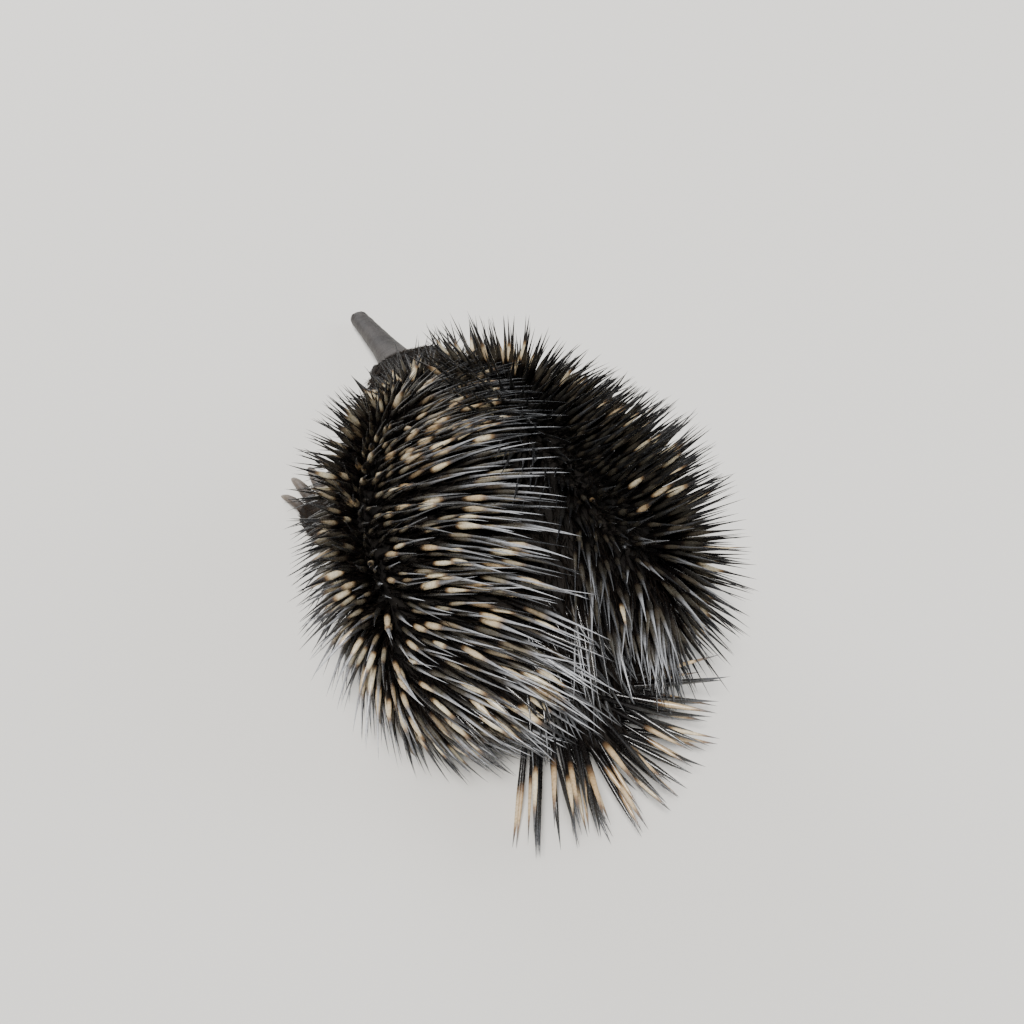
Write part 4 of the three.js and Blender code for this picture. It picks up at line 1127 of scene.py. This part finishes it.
# the lie wanders a little from patch to patch and from quill to quill
t = rotate_about(t, nb, (3 * noise3(P, 60, 11, 1) + rng.normal(0, np.where(q < 0, 3.6, 5.0), count)) * DEG)
CURVE = 0.115
lift = np.where(q < 0, lift + 0.9 * CURVE / DEG, lift)
lift = np.where(q < 0, lift + np.maximum(64 - lift, 0) * np.exp(-(away / 9.0) ** 2), lift)
# flatter over the right shoulder, and low beside the fringe that covers them
over_shoulder = (q > 0) * smooth(95, 150, s) * smooth(20, 52, psi / DEG) * smooth(198, 185, s)
beside = (q > 0) * smooth(24, 4, psi / DEG) * mixed(1, 0.55, smooth(108, 130, s)) * smooth(186, 165, s)
lift = lift * (1 - 0.45 * over_shoulder) - 10 * beside
lift = np.clip(lift + rng.normal(0, 2.4, count) + 2.5 * noise3(P, 45, 12, 1), 9, 84)
rnd = rng.random(count)
# about four in ten on the left and fewer on the right carry a pale band; those
# are the stout ones
# painted shade: low on the left flank far fewer quills carry a pale band, standing for the shadow that lay on that
# flank
shaded_left_flank = smooth(-50, -66, psi / DEG) * smooth(52, 68, s)
from_fan = np.sqrt(((P[:, None] - on_line(FAN_LINE, 24)[None]) ** 2).sum(-1).min(1))
fringe = smooth(-52, -22, psi / DEG) * smooth(128, 98, s)
pale = rng.random(count) < np.where(q < 0, 0.36 * (1 - 0.72 * shaded_left_flank) * (1 - 0.45 * fringe) * mixed(1, 0.6, smooth(130, 170, s)),
                                    mixed(0.055, 0.24, smooth(26, 58, from_fan)) * mixed(0.6, 1.25, smooth(20, 150, s)))
dull = np.where(pale, rng.uniform(0.0, 0.15, count), np.where((q < 0) & (rng.random(count) < 0.28), rng.uniform(0.55, 0.85, count), rng.uniform(0.93, 1.0, count)))
# painted shade: the right half's quills in the strip beside the spine, under the left half's fringe, lose their pale
# band and are coloured plain dark
strip = (q > 0) & (psi / DEG < 20) & (s > 60) & (s < 165)
pale &= ~strip
dull[strip] = 1.0
length = 50 - 4 * smooth(70, 95, a) - 14 * smooth(96, 116, a) - 32 * smooth(170, 212, s) - 10 * over_shoulder
length = length + np.where(q > 0, 8 * smooth(95, 50, s) * smooth(30, 60, a) * smooth(115, 95, a), 0)
length = length * rng.normal(1.0, 0.08, count).clip(0.75, 1.2)
rad = np.where(pale, 1.46, 1.08) * (length / 50) ** 0.5 * rng.normal(1.0, 0.14, count).clip(0.65, 1.45)
bend = -nb * (np.where(q < 0, CURVE * (0.75 + 0.5 * rng.random(count)), 0.03 + 0.04 * rng.random(count)))[:, None] + np.cross(t, nb) * rng.normal(0, 0.02, count)[:, None]
# over the spine the tips of the left half sag toward the tail
sag = np.where(q < 0, 0.07 * smooth(-52, -22, psi / DEG) * smooth(160, 120, s), 0)
bend = bend - forward(np.clip(s, 0, TIP)) * sag[:, None]


def aim(t, n, lift):
    return unit(t * np.cos(lift * DEG)[:, None] + n * np.sin(lift * DEG)[:, None])


# settle each quill so that its tip comes to the outline of the solids: flat ones
# by lying lower or higher, erect ones by their length
want = rng.normal(0.8, 1.8, count) - 8 * beside + 3.5 * smooth(150, 175, s) * smooth(205, 190, s) * smooth(60, 30, a)
erect = smooth(26, 44, lift)
most, full = lift + np.where(q < 0, 5, 10), length.copy()
body_ix = np.flatnonzero(~tail)
for k in range(7):
    d = aim(t, nb, lift)
    tip = P + (d + bend) * length[:, None]
    over = np.zeros(count)
    over[body_ix] = beyond(tip[body_ix]) - want[body_ix]
    turn = over / length / DEG
    lift = np.where(over > 0, lift - turn * (1 - 0.85 * erect), np.minimum(lift - turn * 0.8 * (over < -3), most))
    lift = np.clip(lift, 5, 84)
    length = np.where(over > 0, length - over * (0.12 + 0.75 * erect), length)
    length = np.clip(length, full * 0.62, full)
d = aim(t, nb, lift)
# tail: a low fan of long quills, backwards and to both sides
rel = P - TAIL_ROOT
ta = np.clip((rel @ TAIL_SIDE) / 16.0, -1.4, 1.8)
tu = np.clip((rel @ TAIL_UP) / 14.0, -1, 1.3)
yaw = np.clip(ta * 42 - 6 + rng.normal(0, 10, count), -64, 43)
pit = tu * 13 + rng.normal(0, 5, count)
dt = unit(TAIL_BACK * np.cos(yaw * DEG)[:, None] + TAIL_SIDE * np.sin(yaw * DEG)[:, None] + TAIL_UP * np.tan(pit * DEG)[:, None])
d[tail] = dt[tail]
d[hollow] = unit(nb * 0.6 + np.array([0, 0, -0.65]) + rng.normal(0, 0.10, (count, 3)))[hollow]
bend[hollow] *= 0.3
length[hollow] = rng.normal(24, 3, count)[hollow]
rad[hollow] = rng.normal(0.95, 0.1, count)[hollow]
bend[tail] = TAIL_UP * 0.03 + rng.normal(0, 0.015, (count, 3))[tail]
tl = 54 + 3 * smooth(0.4, 1.5, ta) - 0.62 * np.clip(rel @ TAIL_BACK, 0, 30)
length[tail] = (tl * rng.normal(1, 0.06, count))[tail]
rad[tail] = (1.28 * rng.normal(1, 0.14, count))[tail]
# painted highlight: how much grey-white glint is painted into each quill's tip, most along the left half's fringe, low
# on the left flank toward the rump and on the right toward the rump
painted_glint = np.where(q < 0, 0.05 + 0.85 * np.maximum(smooth(-52, -24, psi / DEG) * smooth(135, 98, s), smooth(86, 50, s) * smooth(-98, -76, psi / DEG)),
                  0.03 + 0.75 * smooth(66, 40, s) * smooth(84, 60, a))
glint_draw = rng.random(count)
painted_glint = np.clip(painted_glint * np.where(glint_draw < 0.55, 1.0, np.where(glint_draw < 0.8, 0.35, 0.06)) + rng.normal(0, 0.05, count), 0, 1)
dull[tail] = np.where(rng.random(count) < 0.5, 1.0, 0.0)[tail]
tone = np.clip(rng.normal(0.30, 0.35, count), 0, 1)
tone[tail] = np.clip(rng.normal(0.78, 0.2, count), 0, 1)[tail]
painted_glint[tail] = 0.25
# less painted highlight in the shaded strip under the fringe
painted_glint[strip] *= 0.25
# only some of those that hang beside the fringe get the painted highlight
painted_glint = painted_glint * (1 - 0.8 * ((q > 0) & ~tail & (rng.random(count) < 0.6)) * smooth(40, 26, psi / DEG))
painted_glint[hollow] *= 0.3
dull[hollow] = 1.0
band = np.where(tail, 1.0, np.clip(rng.normal(0.10, 0.22, count), 0, 1))
uvr = root_uv(P, s, psi, kind, part)
print("quills", count, "left", int((~tail & (q < 0)).sum()), "right", int((~tail & (q > 0)).sum()), "tail", int(tail.sum()),
      "lift", np.round(np.percentile(lift[~tail & (q < 0)], (10, 50, 90)), 1), "length", np.round(np.percentile(length[~tail], (5, 50, 95)), 1),
      "over", np.round(np.percentile(beyond((P + (d + bend) * length[:, None])[~tail & (q < 0)]), (5, 50, 95)), 1))
groups = {"quills_left": ~tail & (q < 0), "quills_right": ~tail & (q > 0), "quills_tail": tail}
for gname, m in groups.items():
    ii = np.flatnonzero(m)
    for pi, jj in enumerate(np.array_split(ii, max(1, math.ceil(len(ii) * 82 / 190000)))):
        V2, f2, al2, ac2, M2 = strands(P[jj], d[jj], perp(d[jj]), length[jj], rad[jj], bend[jj], QUILL_T, TAIL_R if gname == "quills_tail" else QUILL_R, 6, zmin=0.8, sink=1.6)
        look = {"rnd": rnd[jj], "dull": dull[jj], "tone": tone[jj], "band": band[jj], "painted_glint": painted_glint[jj]}
        piece(f"{gname}_{pi + 1}", V2, f2, al2, ac2, M2, look, uvr[jj], QUILL)

# ------------------------------------------------------------ fur
P, N = scatter(150000)
s, side, psi, level, kind, part = sort_points(P)
a = np.abs(psi) / DEG
spiny = (kind == "body") & (s < 214) & (a < 112)
head = (kind == "body") & (s >= 205)
leg, foot, ear, tail = kind == "leg", kind == "foot", kind == "ear", kind == "tail"
face = smooth(232, 252, s) * head
sp = np.full(len(P), 4.8)
sp[head] = (2.9 - 1.2 * face)[head]
sp[leg] = 3.3
sp[foot] = 2.3
sp[ear] = 2.0
sp[tail] = 4.0
parted = np.sqrt(((P[:, None] - on_line(PARTING, 24)[None]) ** 2).sum(-1).min(1))
sp = np.where(spiny, sp - 2.5 * smooth(16, 7, parted), sp)
bare = (s > 253.5) | ((kind == "foot") & ((N[:, 2] < -0.45) | (P[:, 2] < 2.5)))
for q in (-1, 1):
    c, nn, up, f = eye_frame(q)
    dd = P - c
    bare |= (np.sqrt((dd @ f / 3.35) ** 2 + ((dd @ up) / 2.4) ** 2) < 1.62) & (np.linalg.norm(dd, axis=1) < 8)
    c, nn, up, f = ear_frame(q)
    dd = P - c
    bare |= (np.abs(dd @ up) < 5.6) & (np.abs(dd @ f - 0.5) < 1.6) & (np.linalg.norm(dd, axis=1) < 8)
bare |= (P[:, 2] < 1.2)
idx = np.flatnonzero(~bare)
idx = idx[thin_out(P[idx], sp[idx], 4.8)]
P, N, s, side, psi, kind, part, a = P[idx], N[idx], s[idx], side[idx], psi[idx], kind[idx], part[idx], a[idx]
spiny = (kind == "body") & (s < 214) & (a < 112)
head = (kind == "body") & (s >= 205)
leg, foot, ear, tail = kind == "leg", kind == "foot", kind == "ear", kind == "tail"
count = len(P)
nb = N.copy()
q = np.where(psi / DEG < -4 * smooth(140, 115, s), -1, 1)
t, _, away = lie(P, s, psi, nb, q)
back = -forward(np.clip(s, 0, TIP))
back = unit(back - nb * (back * nb).sum(-1, keepdims=True))
down = np.array([0, 0, -1.0]) - nb * (-nb[:, 2:3])
w = np.where(head, 1.0, 0.0)[:, None]
t = unit(t * (1 - w) + (back + 0.35 * unit(down + 1e-6)) * w)
belly = (kind == "body") & (s < 214) & (a >= 112)
t[belly] = back[belly]
k = 0
for name, L in LEGS.items():
    for qq in (-1, 1):
        k += 1
        pts = leg_points(L, qq)
        m = (part == k) & leg
        if m.any():
            v = np.tile(unit(pts[2] - pts[0] + np.array([0, 0, -12])), (m.sum(), 1))
            t[m] = unit(v - nb[m] * (v * nb[m]).sum(-1, keepdims=True))
        m = (part == k) & foot
        if m.any():
            root, dirn, sidev = FOOT[(name, qq)]
            v = np.tile(unit(dirn + np.array([0, 0, -0.15])), (m.sum(), 1))
            t[m] = unit(v - nb[m] * (v * nb[m]).sum(-1, keepdims=True))
t[tail] = unit(TAIL_BACK - nb[tail] * (nb[tail] @ TAIL_BACK)[:, None])
t = rotate_about(unit(t), nb, (rng.normal(0, 10, count) + 12 * noise3(P, 25, 21, 1)) * DEG)
face = smooth(228, 252, s)
hl = np.full(count, 17.0)
hl[belly] = 11
hl[head] = (10.5 - 6.8 * face - 1.0 * smooth(80, 130, a) * (1 - face))[head]
hl[leg] = 9.5
hl[foot] = (3.6 + 2.2 * smooth(6, 13, P[:, 2]))[foot]
hl[ear] = 4.5
hl[tail] = 8
li = 34.0 + 26 * smooth(15, 6, away)
li[belly] = 16
li[head] = (24 - 8 * face)[head]
li[leg] = 22
li[foot] = 17
li[ear] = 30
li[tail] = 20
rr = np.full(count, 0.22)
rr[head] = (0.19 - 0.06 * face)[head]
rr[leg] = 0.19
rr[foot] = 0.15
rr[ear] = 0.13
uvr = root_uv(P, s, psi, kind, part)
STRANDS = 5
fan = rng.normal(0, 1, (count, STRANDS))
fan2 = rng.normal(0, 1, (count, STRANDS))
spread = np.where(head | foot | ear, 0.55, 1.0)[:, None] * np.minimum(sp[idx] if len(sp) != count else sp, 4)[:, None] * 0.30
Pn = np.repeat(P, STRANDS, 0)
nn = np.repeat(nb, STRANDS, 0)
tt = np.repeat(t, STRANDS, 0)
bb = np.cross(nn, tt)
Pn = Pn + bb * (rng.normal(0, 1, (count, STRANDS)) * spread).ravel()[:, None] + tt * (rng.normal(0, 1, (count, STRANDS)) * spread).ravel()[:, None]
tt = rotate_about(tt, nn, (fan.ravel() * 13) * DEG)
lift = (np.repeat(li, STRANDS) + fan2.ravel() * 6).clip(6, 80)
d = unit(tt * np.cos(lift * DEG)[:, None] + nn * np.sin(lift * DEG)[:, None])
ln = np.repeat(hl, STRANDS) * rng.normal(1, 0.16, count * STRANDS).clip(0.5, 1.5)
rd = np.repeat(rr, STRANDS) * rng.uniform(0.8, 1.2, count * STRANDS)
bend = -nn * 0.10 + rng.normal(0, 0.05, (count * STRANDS, 3))
rnd = rng.random(count * STRANDS)
tone = np.repeat(np.where(head, 0.75, np.where(leg | foot, 0.9, np.where(belly, 0.8, 0.12))), STRANDS)
own = np.repeat(np.arange(count), STRANDS)
zone = np.repeat(np.select([spiny & (psi < 0), spiny, belly | tail, head | ear], [0, 1, 2, 3], 4), STRANDS)
for z, zname in enumerate(("fur_back_left", "fur_back_right", "fur_belly", "fur_head", "fur_limbs")):
    ii = np.flatnonzero(zone == z)
    if not len(ii):
        continue
    parts_n = max(1, math.ceil(len(ii) * 16 / 190000))
    for pi, jj in enumerate(np.array_split(ii, parts_n)):
        V2, f2, al2, ac2, M2 = strands(Pn[jj], d[jj], perp(d[jj]), ln[jj], rd[jj], bend[jj], HAIR_T, HAIR_R, 3, zmin=0.5, sink=0.7)
        nm = zname + (f"_{pi + 1}" if parts_n > 1 else "")
        piece(nm, V2, f2, al2, ac2, M2, {"rnd": rnd[jj], "tone": tone[jj]}, uvr[own[jj]], FUR)

# ------------------------------------------------------------ floor, light, camera
m, nt, b = mat_new("floor_plain")
b.inputs["Base Color"].default_value = (0.78, 0.76, 0.72, 1)
b.inputs["Roughness"].default_value = 0.85
floor_me = make_mesh("floor", np.array([[-30000, -30000, 0], [30000, -30000, 0], [30000, 30000, 0], [-30000, 30000, 0]], float), [np.array([[0, 1, 2, 3]])], smooth_shade=False)
floor_me.materials.append(m)
floor = new_object("floor", floor_me)

AZ, EL, DIST, PPMM = 164.0, 50.0, 750.0, 2.1
az, el = AZ * DEG, EL * DEG
backv = np.array([math.sin(az) * math.cos(el), -math.cos(az) * math.cos(el), math.sin(el)])
rightv = unit(np.cross(-backv, [0, 0, 1]))
upv = np.cross(rightv, -backv)
target = np.array([0 - CENTRE[0], 0 - CENTRE[1], 60.0]) - rightv * ((500 - 512) / PPMM) + upv * ((520 - 512) / PPMM)
cam_data = bpy.data.cameras.new("camera")
cam = bpy.data.objects.new("camera", cam_data)
bpy.context.scene.collection.objects.link(cam)
cam.location = Vector((target + backv * DIST) * MM)
cam.rotation_euler = Vector(-backv).to_track_quat("-Z", "Y").to_euler()
cam_data.sensor_width = 36
cam_data.lens = 36 * DIST * PPMM / 1024
cam_data.clip_start = 0.01
bpy.context.scene.camera = cam


def area_light(name, loc, size, power, color=(1, 1, 1)):
    ld = bpy.data.lights.new(name, "AREA")
    ld.shape = "DISK"
    ld.size = size
    ld.energy = power
    ld.color = color
    lo = bpy.data.objects.new(name, ld)
    bpy.context.scene.collection.objects.link(lo)
    lo.location = Vector(loc)
    lo.rotation_euler = (Vector((0, 0, 0.05)) - Vector(loc)).to_track_quat("-Z", "Y").to_euler()
    return lo


key = bpy.data.lights.new("key", "SUN")
key.energy, key.angle, key.color = 4.9, 13.3 * DEG, (1.0, 0.98, 0.95)
key_ob = bpy.data.objects.new("key", key)
bpy.context.scene.collection.objects.link(key_ob)
key_ob.location = (0.35, 0.75, 1.75)
key_ob.rotation_euler = (Vector((0, 0, 0.05)) - Vector((0.35, 0.75, 1.75))).to_track_quat("-Z", "Y").to_euler()
area_light("fill", (-1.5, 0.3, 1.0), 1.2, 10, (0.90, 0.95, 1.0))
area_light("front", (0.5, -1.6, 0.9), 1.2, 14, (0.95, 0.97, 1.0))
world = bpy.data.worlds.new("studio")
world.use_nodes = True
world.node_tree.nodes["Background"].inputs["Color"].default_value = (0.86, 0.90, 0.96, 1)
world.node_tree.nodes["Background"].inputs["Strength"].default_value = 0.33
bpy.context.scene.world = world
